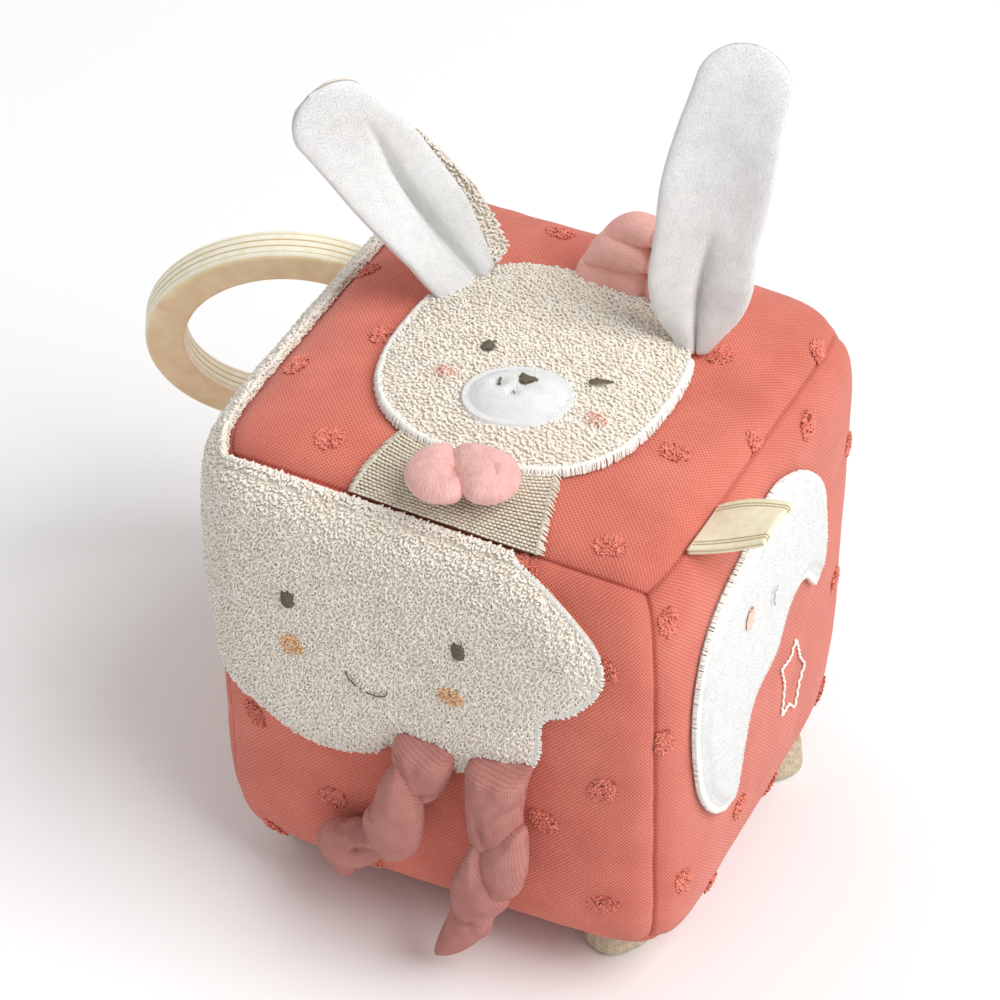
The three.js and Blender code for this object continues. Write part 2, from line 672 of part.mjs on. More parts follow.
function moonGeometry() {
  const curve = (shares) => curveThrough(shares.map(([a, b]) => (
    new THREE.Vector3(moonBack + a * moonHalfHeight, moonUp + b * moonHalfHeight, 0)
  )));
  const outer = curve(moonOuterShares);
  const inner = curve(moonInnerShares);
  const columns = steps(outlineColumns * (moonOuterShares.length - 1));
  const net = gridNet(columns, moonAcrossShares, (u, v) => {
    const place = outer.getPoint(u).lerp(inner.getPoint(u), v);
    const taper = Math.min(1, moonHornTaper * u, moonHornTaper * (1 - u));
    const pad = THREE.MathUtils.lerp(moonEdge, moonPad, taper);
    return [place.x, place.y, clearance + padHeight(moonEdge, pad, Math.abs(2 * v - 1))];
  });
  return sheet(net, ([a, b, lift]) => skin('right', a, b, lift), ([a, b]) => skin('right', a, b, clearance));
}

add('moon', moonGeometry(), plush);

// Tag: two layers of ribbon with a fold at the outer end, bent a little upwards
function tagGeometry() {
  const outer = tagFold / 2 + tagLayer;
  const rows = steps(tagSteps, 0, tagLength - outer);
  const lift = (x) => tagBend * (x / tagLength) ** 2;
  const shape = new THREE.Shape();
  shape.moveTo(0, -outer);
  rows.slice(1).forEach((x) => shape.lineTo(x, -outer + lift(x)));
  for (const turn of steps(tagFoldSteps, -Math.PI / 2, Math.PI / 2)) {
    const x = tagLength - outer + outer * Math.cos(turn);
    shape.lineTo(x, outer * Math.sin(turn) + lift(x));
  }
  [...rows].reverse().forEach((x) => shape.lineTo(x, outer + lift(x)));
  rows.forEach((x) => shape.lineTo(x, tagFold / 2 + lift(x)));
  [...rows].reverse().forEach((x) => shape.lineTo(x, -tagFold / 2 + lift(x)));
  const geometry = new THREE.ExtrudeGeometry(shape, { depth: tagWidth, bevelEnabled: false });
  return geometry.translate(0, 0, -tagWidth / 2);
}

const tagRoot = skin('top', half, tagBack).addScaledVector(cubeNormal(faces.top, 1, 0), clearance + tagLayer);
const tagPivot = addPivot('tag_flex', tagRoot, new THREE.Vector3(0, 1, 0));
const tag = add('tag', tagGeometry(), ribbon, tagPivot);
tag.rotation.set(Math.PI / 2, 0, 0);
tagPivot.rotation.set(0, -THREE.MathUtils.degToRad(tagRise), 0);

// Ring frame: x points from the ring's middle to the strap, z is the way the ring faces
const turn = THREE.MathUtils.degToRad(ringTurn);
const lean = THREE.MathUtils.degToRad(ringLean);
const toStrap = new THREE.Vector3(Math.cos(turn), Math.sin(turn), 0);
const level = new THREE.Vector3(Math.sin(turn), -Math.cos(turn), 0);
const ringFacing = level.multiplyScalar(Math.cos(lean)).add(new THREE.Vector3(0, 0, Math.sin(lean)));
const ringUpwards = new THREE.Vector3().crossVectors(ringFacing, toStrap);
const ringFrame = new THREE.Matrix4().makeBasis(toStrap, ringUpwards, ringFacing).setPosition(...ringMiddle);

function roundedBox(path, left, right, bottom, top, radius) {
  path.moveTo(left + radius, bottom);
  path.absarc(right - radius, bottom + radius, radius, -Math.PI / 2, 0);
  path.absarc(right - radius, top - radius, radius, 0, Math.PI / 2);
  path.absarc(left + radius, top - radius, radius, Math.PI / 2, Math.PI);
  path.absarc(left + radius, bottom + radius, radius, Math.PI, 1.5 * Math.PI);
  return path;
}

const ringSection = [ringOuterRadius - ringWidth, ringOuterRadius, -ringThickness / 2, ringThickness / 2];

function ringGeometry() {
  const profile = roundedBox(new THREE.Shape(), ...ringSection, ringRounding).getPoints(ringRoundSteps);
  const geometry = new THREE.LatheGeometry([...profile, profile[0]], ringSegments);
  return geometry.rotateX(Math.PI / 2);
}

// The loop leaves the ring free to slide through it; its neck reaches towards the seam
const grown = (edges, by) => edges.map((edge, i) => edge + (i % 2 === 0 ? -by : by));
const loopInside = grown(ringSection, strapSlack);
const loopOutside = grown(loopInside, strapThickness);
const strapMiddle = loopOutside[1] - strapThickness / 2;
const seamPoint = skin('left', -half, ringMiddle[2]);
const seamOut = cubeNormal(faces.left, -1, 0);
const tabRoot = seamPoint.clone().addScaledVector(seamOut, strapStart);
const tabRootInFrame = tabRoot.clone().applyMatrix4(ringFrame.clone().invert());
const neckEnd = tabRootInFrame.z - strapTab - strapFold;

function loopGeometry() {
  const shape = roundedBox(new THREE.Shape(), ...loopOutside, strapCorner + strapThickness);
  shape.holes.push(roundedBox(new THREE.Path(), ...loopInside, strapCorner));
  const options = { depth: strapWidth, bevelEnabled: false, curveSegments: strapCornerSteps };
  const band = new THREE.ExtrudeGeometry(shape, options);
  band.translate(0, 0, -strapWidth / 2);
  band.rotateX(Math.PI / 2);
  const neckStart = loopInside[3] - strapCorner;
  const neck = new THREE.BoxGeometry(strapThickness, strapWidth, neckEnd - neckStart);
  neck.translate(strapMiddle, 0, (neckEnd + neckStart) / 2);
  return geometryOf(solid(band).add(solid(neck)));
}

// The tab twists from the upright seam to the leaning loop
function tabGeometry() {
  const far = neckEnd + strapFold;
  const end = (v) => new THREE.Vector3(strapMiddle, v * strapWidth, far).applyMatrix4(ringFrame);
  const root = (v) => tabRoot.clone().add(new THREE.Vector3(0, 0, v * strapWidth));
  const net = gridNet(steps(tabSteps), steps(tabSteps, -1 / 2, 1 / 2), (u, v) => root(v).lerp(end(v), u));
  const layer = (side) => (point) => point.clone().addScaledVector(toStrap, (side * strapThickness) / 2);
  return sheet(net, layer(1), layer(-1));
}

const tabEnd = new THREE.Vector3(strapMiddle, 0, neckEnd + strapFold / 2).applyMatrix4(ringFrame);
const tabPivot = addPivot('ring_strap_swing', tabRoot, new THREE.Vector3(0, 0, 1));
addOnPivot('ring_tab', tabGeometry(), tape, tabPivot);
const loopPivot = addPivot('ring_droop', tabEnd, ringFacing, tabPivot);
addOnPivot('ring_loop', loopGeometry().applyMatrix4(ringFrame), tape, loopPivot);
const ringPivot = addPivot('ring_slide', new THREE.Vector3(...ringMiddle), ringFacing, loopPivot);
addOnPivot('ring', ringGeometry().applyMatrix4(ringFrame), plywood, ringPivot);

// Feet: rounded stubs whose tops are shaped to the bottom panel
const floor = -half - faceCrown - footHeight;
const standing = cubeBody(clearance, panelLineShares);
for (const [name, [x, y]] of Object.entries(footPlaces)) {
  const tall = footHeight + footOvershoot;
  const profile = [new THREE.Vector2(0, 0)];
  for (const [r, h] of footProfileShares) profile.push(new THREE.Vector2(r * footRadius, h * footHeight));
  profile.push(new THREE.Vector2(footProfileShares.at(-1)[0] * footRadius, tall), new THREE.Vector2(0, tall));
  const stub = new THREE.LatheGeometry(profile, footSegments).rotateX(Math.PI / 2).translate(x, y, floor);
  add(`foot_${name}`, geometryOf(solid(stub).subtract(standing)), linen);
}

// The origin is under the middle of the whole block, on the surface it stands on
block.updateMatrixWorld(true);
const bounds = new THREE.Box3().setFromObject(block, true);
const middle = bounds.getCenter(new THREE.Vector3());
block.position.set(-middle.x, -middle.y, -bounds.min.z);

export default block;
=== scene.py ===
import json
import math
from functools import partial

import bpy
import numpy as np
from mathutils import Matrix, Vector


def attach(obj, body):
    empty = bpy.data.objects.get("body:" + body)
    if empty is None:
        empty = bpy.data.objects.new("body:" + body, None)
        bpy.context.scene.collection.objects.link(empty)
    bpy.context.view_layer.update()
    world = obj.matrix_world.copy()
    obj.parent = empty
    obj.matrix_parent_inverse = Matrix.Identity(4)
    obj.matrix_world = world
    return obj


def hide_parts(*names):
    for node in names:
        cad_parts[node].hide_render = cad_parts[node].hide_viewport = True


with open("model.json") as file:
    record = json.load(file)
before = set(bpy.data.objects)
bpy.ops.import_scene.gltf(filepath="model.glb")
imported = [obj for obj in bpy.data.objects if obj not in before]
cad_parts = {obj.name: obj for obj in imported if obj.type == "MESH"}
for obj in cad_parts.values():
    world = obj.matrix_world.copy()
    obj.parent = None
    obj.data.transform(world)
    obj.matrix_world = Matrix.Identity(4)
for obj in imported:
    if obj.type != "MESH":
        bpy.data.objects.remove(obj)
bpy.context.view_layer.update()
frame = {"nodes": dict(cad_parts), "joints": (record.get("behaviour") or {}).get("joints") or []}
joints = {joint["name"]: joint for joint in frame["joints"]}

MM = 0.001
TAU = 2 * math.pi
TINY = 1e-12
DETAIL = 1.0

# The stuffed cube, as the part has it: half its side, how square it is, the dome of a face, and its middle
HALF = 58.5
SQUARENESS = 8
CROWN = 1.5
SHIFT = np.array([28.717, 1.464, 66.200])
# The groove of each seam, and the narrow one that its stitches draw in
SEAM_DEPTH = 0.8
SEAM_REACH = 4
STITCH_DEPTH = 0.9
STITCH_REACH = 0.7
PATCH_GROOVE = 0.45  # share of a seam's groove that a patch sewn over it follows
PATCH_GAP = 0.35  # between the cube's cloth and a patch
# How far each corner is pulled, as shares of half the side
CORNER_PULLS = [
    ((1, -1, 1), (-0.03, -0.03, -0.02)),
    ((1, -1, -1), (0.02, 0.04, 0.03)),
    ((-1, -1, 1), (0.04, 0.02, 0)),
    ((1, 1, 1), (-0.02, 0, 0.01)),
    ((-1, -1, -1), (0.03, 0, -0.02)),
    ((1, 1, -1), (-0.02, -0.07, -0.05)),
    ((-1, 1, 1), (-0.035, 0.035, 0.07)),
]
# For each face: the direction of a, the direction of b and the way that it faces
FACES = {
    "top": np.array([(1, 0, 0), (0, 1, 0), (0, 0, 1)], float),
    "front": np.array([(1, 0, 0), (0, 0, 1), (0, -1, 0)], float),
    "right": np.array([(0, 1, 0), (0, 0, 1), (1, 0, 0)], float),
    "left": np.array([(0, -1, 0), (0, 0, 1), (-1, 0, 0)], float),
    "back": np.array([(-1, 0, 0), (0, 0, 1), (0, 1, 0)], float),
    "bottom": np.array([(1, 0, 0), (0, -1, 0), (0, 0, -1)], float),
}

# Soft waves of the cloth (height, size) and puckers along the seams
WAVES = ((0.5, 27), (0.2, 10))
PUCKER_HEIGHT = 0.42
PUCKER_SIZE = 4.2
PUCKER_REACH = 6


def unit(vectors):
    """Vectors of length 1."""
    return vectors / np.maximum(np.linalg.norm(vectors, axis=-1, keepdims=True), TINY)


def arrays(*values):
    """Numbers and arrays as float arrays of one shape."""
    return np.broadcast_arrays(*(np.asarray(value, float) for value in values))


def joint_place(name):
    """Where a joint is, in millimetres."""
    return 1000 * np.array(joints[name]["pos_m"])


def noise(points, size, seed):
    """Smooth noise from -1 to 1 in space, the same each run. The large numbers mix the bits of a cell."""
    cell_place = np.asarray(points, float) / size + 17.3 * seed
    cell = np.floor(cell_place).astype(np.int64)
    share = cell_place - cell
    share = share * share * (3 - 2 * share)
    total = np.zeros(cell.shape[:-1])
    for i in range(8):
        corner = np.array([i & 1, (i >> 1) & 1, (i >> 2) & 1])
        x, y, z = np.moveaxis(cell + corner, -1, 0)
        mixed = (x * 73856093) ^ (y * 19349663) ^ (z * 83492791) ^ (seed * 2654435761)
        mixed = ((mixed ^ (mixed >> 13)) * 1274126177) & 0x7FFFFFFF
        value = ((mixed ^ (mixed >> 16)) & 0xFFFF) / 32767.5 - 1
        total += value * np.prod(np.where(corner == 1, share, 1 - share), axis=-1)
    return total


def skin_normal(face, a, b):
    """Outward direction of the rounded cube at (a, b) of a face."""
    s_axis, t_axis, n_axis = FACES[face]
    a, b = arrays(a, b)
    q = n_axis + (a / HALF)[..., None] * s_axis + (b / HALF)[..., None] * t_axis
    return unit(np.sign(q) * np.abs(q) ** (SQUARENESS - 1))


def relief(face, a, b, point):
    """Height of the cloth's waves and of the puckers at its seams, the same on both faces of a seam."""
    s_axis, t_axis, n_axis = FACES[face]
    height = sum(size * noise(point, reach, 3) for size, reach in WAVES)
    for along, along_share, across_share, across_axis in (
            (s_axis, a / HALF, b / HALF, t_axis), (t_axis, b / HALF, a / HALF, s_axis)):
        seam = n_axis + np.sign(across_share)[..., None] * across_axis
        place = point @ np.abs(along)
        seam_number = 40 * (seam @ (1, 1.7, 2.9))
        where = np.stack([place, seam_number, 0 * place], -1)
        near = np.exp(-(1 - np.abs(across_share)) * HALF / PUCKER_REACH) * (1 - np.abs(along_share) ** 8)
        height = height + PUCKER_HEIGHT * near * noise(where, PUCKER_SIZE, 5)
    return height


def skin(face, a, b, lift=0.0, groove=1.0):
    """A point of the cube's cloth at (a, b) mm from a face's middle, raised by lift."""
    s_axis, t_axis, n_axis = FACES[face]
    a, b, lift = arrays(a, b, lift)
    s, t = a / HALF, b / HALF
    q = n_axis + s[..., None] * s_axis + t[..., None] * t_axis
    size = (np.abs(q) ** SQUARENESS).sum(-1) ** (1 / SQUARENESS)
    point = q * (HALF / size)[..., None]
    place = point / HALF
    point = point + n_axis * (CROWN * (1 - s * s) * (1 - t * t))[..., None]
    for corner, pull in CORNER_PULLS:
        weight = HALF * np.prod((1 + place * np.array(corner)) / 2, axis=-1)
        point = point + weight[..., None] * np.array(pull)
    drawn = 0
    for share in (s, t):
        from_seam = (1 - np.abs(share)) * HALF
        drawn = drawn + SEAM_DEPTH * np.exp(-((from_seam / SEAM_REACH) ** 2))
        drawn = drawn + (groove == 1) * STITCH_DEPTH * np.exp(-((from_seam / STITCH_REACH) ** 2))
    height = lift - groove * drawn + relief(face, a, b, point)
    return point + skin_normal(face, a, b) * height[..., None] + SHIFT


top_place = partial(skin, "top", groove=PATCH_GROOVE)
right_place = partial(skin, "right", groove=PATCH_GROOVE)


def wall_place(w, b, lift=0.0):
    """A place on the front; past its left edge it carries on over the left face."""
    w, b, lift = arrays(w, b, lift)
    front = skin("front", np.maximum(w, -HALF), b, lift, PATCH_GROOVE)
    left = skin("left", np.minimum(w, -HALF) + 2 * HALF, b, lift, PATCH_GROOVE)
    return np.where((w >= -HALF)[..., None], front, left)


def above(place, height):
    """A surface raised by height."""
    return lambda a, b, lift=0.0: place(a, b, lift + height)


def directions(place, a, b):
    """Unit directions (along a, along b, outward) of a surface given as place(a, b)."""
    reach = 0.3
    along = unit(place(a + reach, b) - place(a - reach, b))
    other = unit(place(a, b + reach) - place(a, b - reach))
    out = unit(np.cross(along, other))
    return along, np.cross(out, along), out


# Meshes: points in millimetres and faces with four corners
def grid_faces(rows, columns, closed=False):
    """Faces of a grid of points stored row by row; closed joins the last column to the first."""
    i, j = np.meshgrid(np.arange(rows - 1), np.arange(columns if closed else columns - 1), indexing="ij")
    k = (j + 1) % columns
    quads = np.stack([i * columns + j, i * columns + k, (i + 1) * columns + k, (i + 1) * columns + j], -1)
    return quads.reshape(-1, 4)


def ring_faces(rows, columns):
    """Faces of a grid that closes both ways."""
    return grid_faces(rows + 1, columns, closed=True) % (rows * columns)


def facing_out(points, faces):
    """The faces, turned over where they would look in towards the middle of the cube."""
    corners = points.reshape(-1, 3)[faces] - SHIFT
    area = np.cross(corners[:, 2] - corners[:, 0], corners[:, 3] - corners[:, 1])
    outward = (area * corners.mean(1)).sum()
    return faces if outward > 0 else faces[:, ::-1]


def shell(outer, inner):
    """A sheet between two grids of points, with walls round its rim."""
    rows, columns = outer.shape[:2]
    index = np.arange(rows * columns).reshape(rows, columns)
    rim = np.concatenate([index[:, 0], index[-1, 1:], index[-2::-1, -1], index[0, -2:0:-1]])
    after = np.roll(rim, -1)
    faces = grid_faces(rows, columns)
    walls = np.stack([rim, after, after + index.size, rim + index.size], -1)
    points = np.concatenate([outer.reshape(-1, 3), inner.reshape(-1, 3)])
    return points, np.concatenate([faces, faces[:, ::-1] + index.size, walls])


def rise(distance, edge, pad, reach):
    """Height of a pad at this distance from its edge."""
    return edge + (pad - edge) * (1 - (1 - np.clip(distance / reach, 0, 1)) ** 3)


def strands(paths, radii, sides=4):
    """Round threads along many short paths at once."""
    paths = np.asarray(paths, float)
    count, steps = paths.shape[:2]
    radii = np.broadcast_to(np.asarray(radii, float), (count, steps))
    tangent = unit(np.gradient(paths, axis=1))
    chord = paths[:, -1] - paths[:, 0]
    bend = np.cross(paths[:, steps // 2] - paths[:, 0], chord)
    spare = np.cross(chord, (0.31, 0.52, 0.79))
    bend = np.where(np.linalg.norm(bend, axis=-1, keepdims=True) > 1e-4, bend, spare)
    side = unit(bend[:, None] - (bend[:, None] * tangent).sum(-1, keepdims=True) * tangent)
    up = np.cross(tangent, side)
    angle = TAU * np.arange(sides) / sides
    ring = np.cos(angle)[:, None] * side[:, :, None] + np.sin(angle)[:, None] * up[:, :, None]
    points = paths[:, :, None] + radii[..., None, None] * ring
    quads = grid_faces(steps, sides, closed=True)
    faces = (quads[None] + (np.arange(count) * steps * sides)[:, None, None]).reshape(-1, 4)
    return points.reshape(-1, 3), faces


def joined(parts):
    """Several (points, faces) as one."""
    points, faces, start = [], [], 0
    for part_points, part_faces in parts:
        points.append(part_points.reshape(-1, 3))
        faces.append(part_faces + start)
        start += len(points[-1])
    return np.concatenate(points), np.concatenate(faces)


def piece(name, points, faces, look, slot, body="block", uv=None, replaces=()):
    """A mesh object that rides on a body and may stand for nodes of the part; uv are places on its cloth."""
    points = points.reshape(-1, 3)
    loops = faces.ravel().astype(np.int32)
    mesh = bpy.data.meshes.new(name)
    mesh.vertices.add(len(points))
    mesh.vertices.foreach_set("co", (points * MM).astype(np.float32).ravel())
    mesh.loops.add(len(loops))
    mesh.loops.foreach_set("vertex_index", loops)
    mesh.polygons.add(len(faces))
    mesh.polygons.foreach_set("loop_start", 4 * np.arange(len(faces), dtype=np.int32))
    mesh.polygons.foreach_set("use_smooth", np.ones(len(faces), bool))
    mesh.update(calc_edges=True)
    mesh.validate()
    if uv is not None:
        flat = uv.reshape(-1, 2)[loops] * MM
        mesh.uv_layers.new(name="Cloth").data.foreach_set("uv", flat.astype(np.float32).ravel())
    made = bpy.data.objects.new(name, mesh)
    bpy.context.scene.collection.objects.link(made)
    mesh.materials.append(look)
    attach(made, body)
    if replaces:
        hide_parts(*replaces)
    return made


def quilt(name, place, a, b, height, look, slot, replaces, closed=False):
    """A padded patch over rows of (a, b) places, with walls down to the cloth along its rim."""
    ends = ((0, 1), (0, 0)) if closed else ((1, 1), (1, 1))
    a, b = np.pad(a, ends, mode="edge"), np.pad(b, ends, mode="edge")
    points = place(a, b, np.pad(height, ends, constant_values=-0.2))
    faces = facing_out(points, grid_faces(*a.shape, closed=closed))
    return piece(name, points, faces, look, slot=slot, uv=np.stack([a, b], -1), replaces=replaces)


# Curves and outlines
CURVE_STEPS = 24  # between two given points
LAP_POINTS = 4000  # on a bit more than one lap of a closed curve
LAP_STEP = 8


def curve(points, count):
    """Even points on a smooth curve through the given ones."""
    points = np.asarray(points, float)
    padded = np.concatenate([2 * points[:1] - points[1:2], points, 2 * points[-1:] - points[-2:-1]])
    fine = []
    for i in range(len(points) - 1):
        p0, p1, p2, p3 = padded[i:i + 4]
        t = np.linspace(0, 1, CURVE_STEPS, endpoint=False)[:, None]
        fine.append(0.5 * (2 * p1 + (p2 - p0) * t + (2 * p0 - 5 * p1 + 4 * p2 - p3) * t**2
                           + (3 * p1 - p0 - 3 * p2 + p3) * t**3))
    fine = np.concatenate(fine + [points[-1:]])
    length = np.concatenate([[0], np.cumsum(np.linalg.norm(np.diff(fine, axis=0), axis=1))])
    at = np.linspace(0, length[-1], count)
    return np.stack([np.interp(at, length, fine[:, i]) for i in range(points.shape[1])], -1)


def closed_curve(points, count):
    """Even points on a smooth closed outline."""
    points = np.asarray(points, float)
    fine = curve(np.concatenate([points[-3:], points, points[:4]]), LAP_POINTS)
    from_first = np.linalg.norm(fine - points[0], axis=1)
    start = np.argmin(from_first[:LAP_POINTS // 2])
    away = start + LAP_POINTS // 20
    end = away + np.argmin(from_first[away:])
    return curve(fine[start:end:LAP_STEP], count + 1)[:-1]


def edge_distance(a, b, outline, closed=True):
    """Distance from each (a, b) to an outline, and whether it lies inside."""
    start = np.asarray(outline, float)
    end = np.roll(start, -1, axis=0)
    if not closed:
        start, end = start[:-1], end[:-1]
    p = np.stack([a.ravel(), b.ravel()], -1)
    best = np.full(len(p), np.inf)
    inside = np.zeros(len(p), bool)
    for (x0, y0), (x1, y1) in zip(start, end):
        dx, dy = x1 - x0, y1 - y0
        t = np.clip(((p[:, 0] - x0) * dx + (p[:, 1] - y0) * dy) / max(dx * dx + dy * dy, TINY), 0, 1)
        best = np.minimum(best, np.hypot(p[:, 0] - x0 - t * dx, p[:, 1] - y0 - t * dy))
        crosses = (y0 > p[:, 1]) != (y1 > p[:, 1])
        inside ^= crosses & (p[:, 0] < (p[:, 1] - y0) * dx / (dy if dy else TINY) + x0)
    return best.reshape(a.shape), inside.reshape(a.shape)


def circle(centre, half_width, half_height, turn=0.0, count=40, squareness=2.0):
    """Points of an oval, or of a squarish one."""
    angle = np.linspace(0, TAU, count, endpoint=False)
    c, s = np.cos(angle), np.sin(angle)
    x = half_width * np.sign(c) * np.abs(c) ** (2 / squareness)
    y = half_height * np.sign(s) * np.abs(s) ** (2 / squareness)
    c, s = math.cos(math.radians(turn)), math.sin(math.radians(turn))
    return np.stack([centre[0] + x * c - y * s, centre[1] + x * s + y * c], -1)


def oval_share(a, b, middle, half, turn=0.0, squareness=2.0):
    """Share of the way from an oval's middle to its rim."""
    c, s = math.cos(math.radians(turn)), math.sin(math.radians(turn))
    x, y = a - middle[0], b - middle[1]
    x, y = np.abs((x * c + y * s) / half[0]), np.abs((y * c - x * s) / half[1])
    return (x**squareness + y**squareness) ** (1 / squareness)


def scatter(low, high, spacing, seed):
    """Places spread evenly but not in rows over a rectangle."""
    rng = np.random.RandomState(seed)
    x, y = np.meshgrid(np.arange(low[0], high[0], spacing), np.arange(low[1], high[1], spacing * 0.87))
    x = x + (np.arange(x.shape[0]) % 2)[:, None] * spacing / 2
    spread = spacing * 0.36
    x = x + rng.uniform(-spread, spread, x.shape)
    y = y + rng.uniform(-spread, spread, x.shape)
    return x.ravel(), y.ravel()


# Loops, piles and stitches on a surface
TERRY_PITCH = 0.98
LOOP_POINTS = 6
LOOP_LEAN = 0.25
LOOP_TURN = 0.7
LOOP_SIZES = (0.7, 1.3)  # shares between which the loops differ
PILE_PITCH = 0.5 / DETAIL
PILE_LENGTH = 0.36
PILE_RADIUS = 0.09
SATIN_RADIUS = 0.2
SATIN_ROWS = ((-1, -0.5), (-0.6, 0.5), (0, 1), (0.7, 0.2), (1, -2.4))  # share of the reach, share of the lift
FILL_PITCH = 0.34  # between the threads that fill an outline
FILL_ARCH = (-0.8, 0.6, 0.95, 1, 0.95, 0.6, -0.8)  # share of the lift along such a thread


def terry_loops(place, a, b, seed, height=0.68, width=0.38, radius=0.27, hang=0.5):
    """Plump loops of terry cloth on place(a, b), mostly side by side in rows and hanging a little."""
    rng = np.random.RandomState(seed)
    along, other, out = directions(place, a, b)
    base = place(a, b)
    turn = rng.normal(0, LOOP_TURN, len(a))[:, None]
    flat = along * np.cos(turn) + other * np.sin(turn)
    sway = along * rng.normal(0, LOOP_LEAN, (len(a), 1)) + other * rng.normal(-hang, LOOP_LEAN, (len(a), 1))
    way = unit(out + sway)
    tall = height * rng.uniform(*LOOP_SIZES, (len(a), 1, 1))
    wide = width * rng.uniform(*LOOP_SIZES, (len(a), 1, 1))
    bend = np.linspace(-0.1, 1.1, LOOP_POINTS)[None, :, None] * math.pi
    paths = base[:, None] - 0.1 * out[:, None] + flat[:, None] * wide * np.cos(bend)
    paths = paths + way[:, None] * tall * np.sin(bend)
    return strands(paths, radius * rng.uniform(0.8, 1.25, (len(a), 1)))


def pile(place, a, b, seed, side=1):
    """Short fibres of plush on place(a, b), each a thin three-sided blade; side -1 turns them over."""
    rng = np.random.RandomState(seed)
    along, other, out = directions(place, a, b)
    out = side * out
    turn = rng.uniform(0, TAU, len(a))[:, None]
    lean = rng.uniform(0.1, 0.75, (len(a), 1))
    way = unit(out + lean * (along * np.cos(turn) + other * np.sin(turn)))
    tall = PILE_LENGTH * rng.uniform(0.6, 1.15, (len(a), 1))
    base = place(a, b) - 0.1 * out
    paths = np.stack([base, base + way * tall * 0.55 + out * 0.03, base + way * tall], 1)
    return strands(paths, PILE_RADIUS * np.array([1, 0.8, 0.15]), sides=3)


def satin(place, outline, seed, out_reach, in_reach, lift, pitch=0.26, ragged=0.35):
    """Close stitches that cross an edge; outline is (a, b) places, place takes (a, b, lift)."""
    rng = np.random.RandomState(seed)
    length = np.linalg.norm(np.diff(outline, axis=0), axis=1).sum()
    line = curve(outline, int(length / pitch))
    ahead = unit(np.gradient(line, axis=0))
    normal = np.stack([ahead[:, 1], -ahead[:, 0]], -1)
    slant = rng.normal(0, 0.22, (len(line), 1))
    rows = []
    for share, height in SATIN_ROWS:
        reach = in_reach if share < 0 else out_reach
        spread = reach * (1 + ragged * rng.uniform(-1, 1, (len(line), 1)))
        at = line + normal * share * spread + ahead * slant * share
        rows.append(place(at[:, 0], at[:, 1], lift * height))
    return strands(np.stack(rows, 1), SATIN_RADIUS)


def patch_stitches(place, outline, seed, lift, turn=0.0):
    """Satin embroidery that fills a closed outline with side by side threads."""
    rng = np.random.RandomState(seed)
    outline = np.asarray(outline, float)
    middle = outline.mean(0)
    c, s = math.cos(turn), math.sin(turn)
    turned = (outline - middle) @ np.array([[c, -s], [s, c]])
    following = np.roll(turned, -1, axis=0)
    rows = []
    for y in np.arange(turned[:, 1].min() + FILL_PITCH / 2, turned[:, 1].max(), FILL_PITCH):
        hit = (turned[:, 1] > y) != (following[:, 1] > y)
        share = (y - turned[hit, 1]) / (following[hit, 1] - turned[hit, 1])
        xs = np.sort(turned[hit, 0] + share * (following[hit, 0] - turned[hit, 0]))
        if len(xs) > 1:
            x = np.linspace(xs[0] - rng.uniform(0, 0.3), xs[-1] + rng.uniform(0, 0.3), len(FILL_ARCH))
            rows.append(np.stack([x, np.full(len(x), y)], -1) @ np.array([[c, s], [-s, c]]) + middle)
    rows = np.array(rows)
    arch = np.broadcast_to(lift * np.array(FILL_ARCH), rows.shape[:2])
    return strands(place(rows[..., 0], rows[..., 1], arch), SATIN_RADIUS, sides=5)


def running_thread(place, line, radius, lift, stitch=1.6):
    """A row of long stitches along a line of (a, b) places."""
    line = np.asarray(line, float)
    length = np.linalg.norm(np.diff(line, axis=0), axis=1).sum()
    count = max(1, round(length / stitch))
    fine = curve(line, count * 6 + 1)
    paths = np.stack([fine[i * 6:i * 6 + 7] for i in range(count)])
    arch = lift * np.sin(np.linspace(0.12, 0.88, 7) * math.pi)
    places = place(paths[..., 0], paths[..., 1], np.broadcast_to(arch, paths.shape[:2]))
    return strands(places, radius, sides=5)


def fuzzy_cheeks(place, places, half, seed):
    """Pairs of cheeks: thin coloured loops that show among the terry."""
    parts = []
    for i, (x, y) in enumerate(places):
        a, b = scatter((x - 4, y - 4), (x + 4, y + 4), 0.62, seed + i)
        inside = np.hypot((a - x) / half[0], (b - y) / half[1]) < 1
        parts.append(terry_loops(place, a[inside], b[inside], seed + 5 + i, height=1.12, width=0.3,
                                 radius=0.15, hang=0.2))
    return joined(parts)


# Looks
def shade(colour):
    """A screen colour as the renderer's own linear one."""
    return (*[c / 12.92 if c < 0.04045 else ((c + 0.055) / 1.055) ** 2.4 for c in colour], 1)


def node(tree, kind, inputs, **settings):
    """A shader node; inputs hold values or sockets to link from."""
    made = tree.nodes.new(kind)
    for name, value in settings.items():
        setattr(made, name, value)
    for name, value in inputs.items():
        if isinstance(value, bpy.types.NodeSocket):
            tree.links.new(value, made.inputs[name])
        else:
            made.inputs[name].default_value = value
    return made


def ramp(tree, value, *stops):
    """A colour between two stops, each a place and its colour."""
    made = node(tree, "ShaderNodeValToRGB", {"Fac": value})
    for element, (place, colour) in zip(made.color_ramp.elements, stops):
        element.position = place
        element.color = colour
    return made.outputs["Color"]


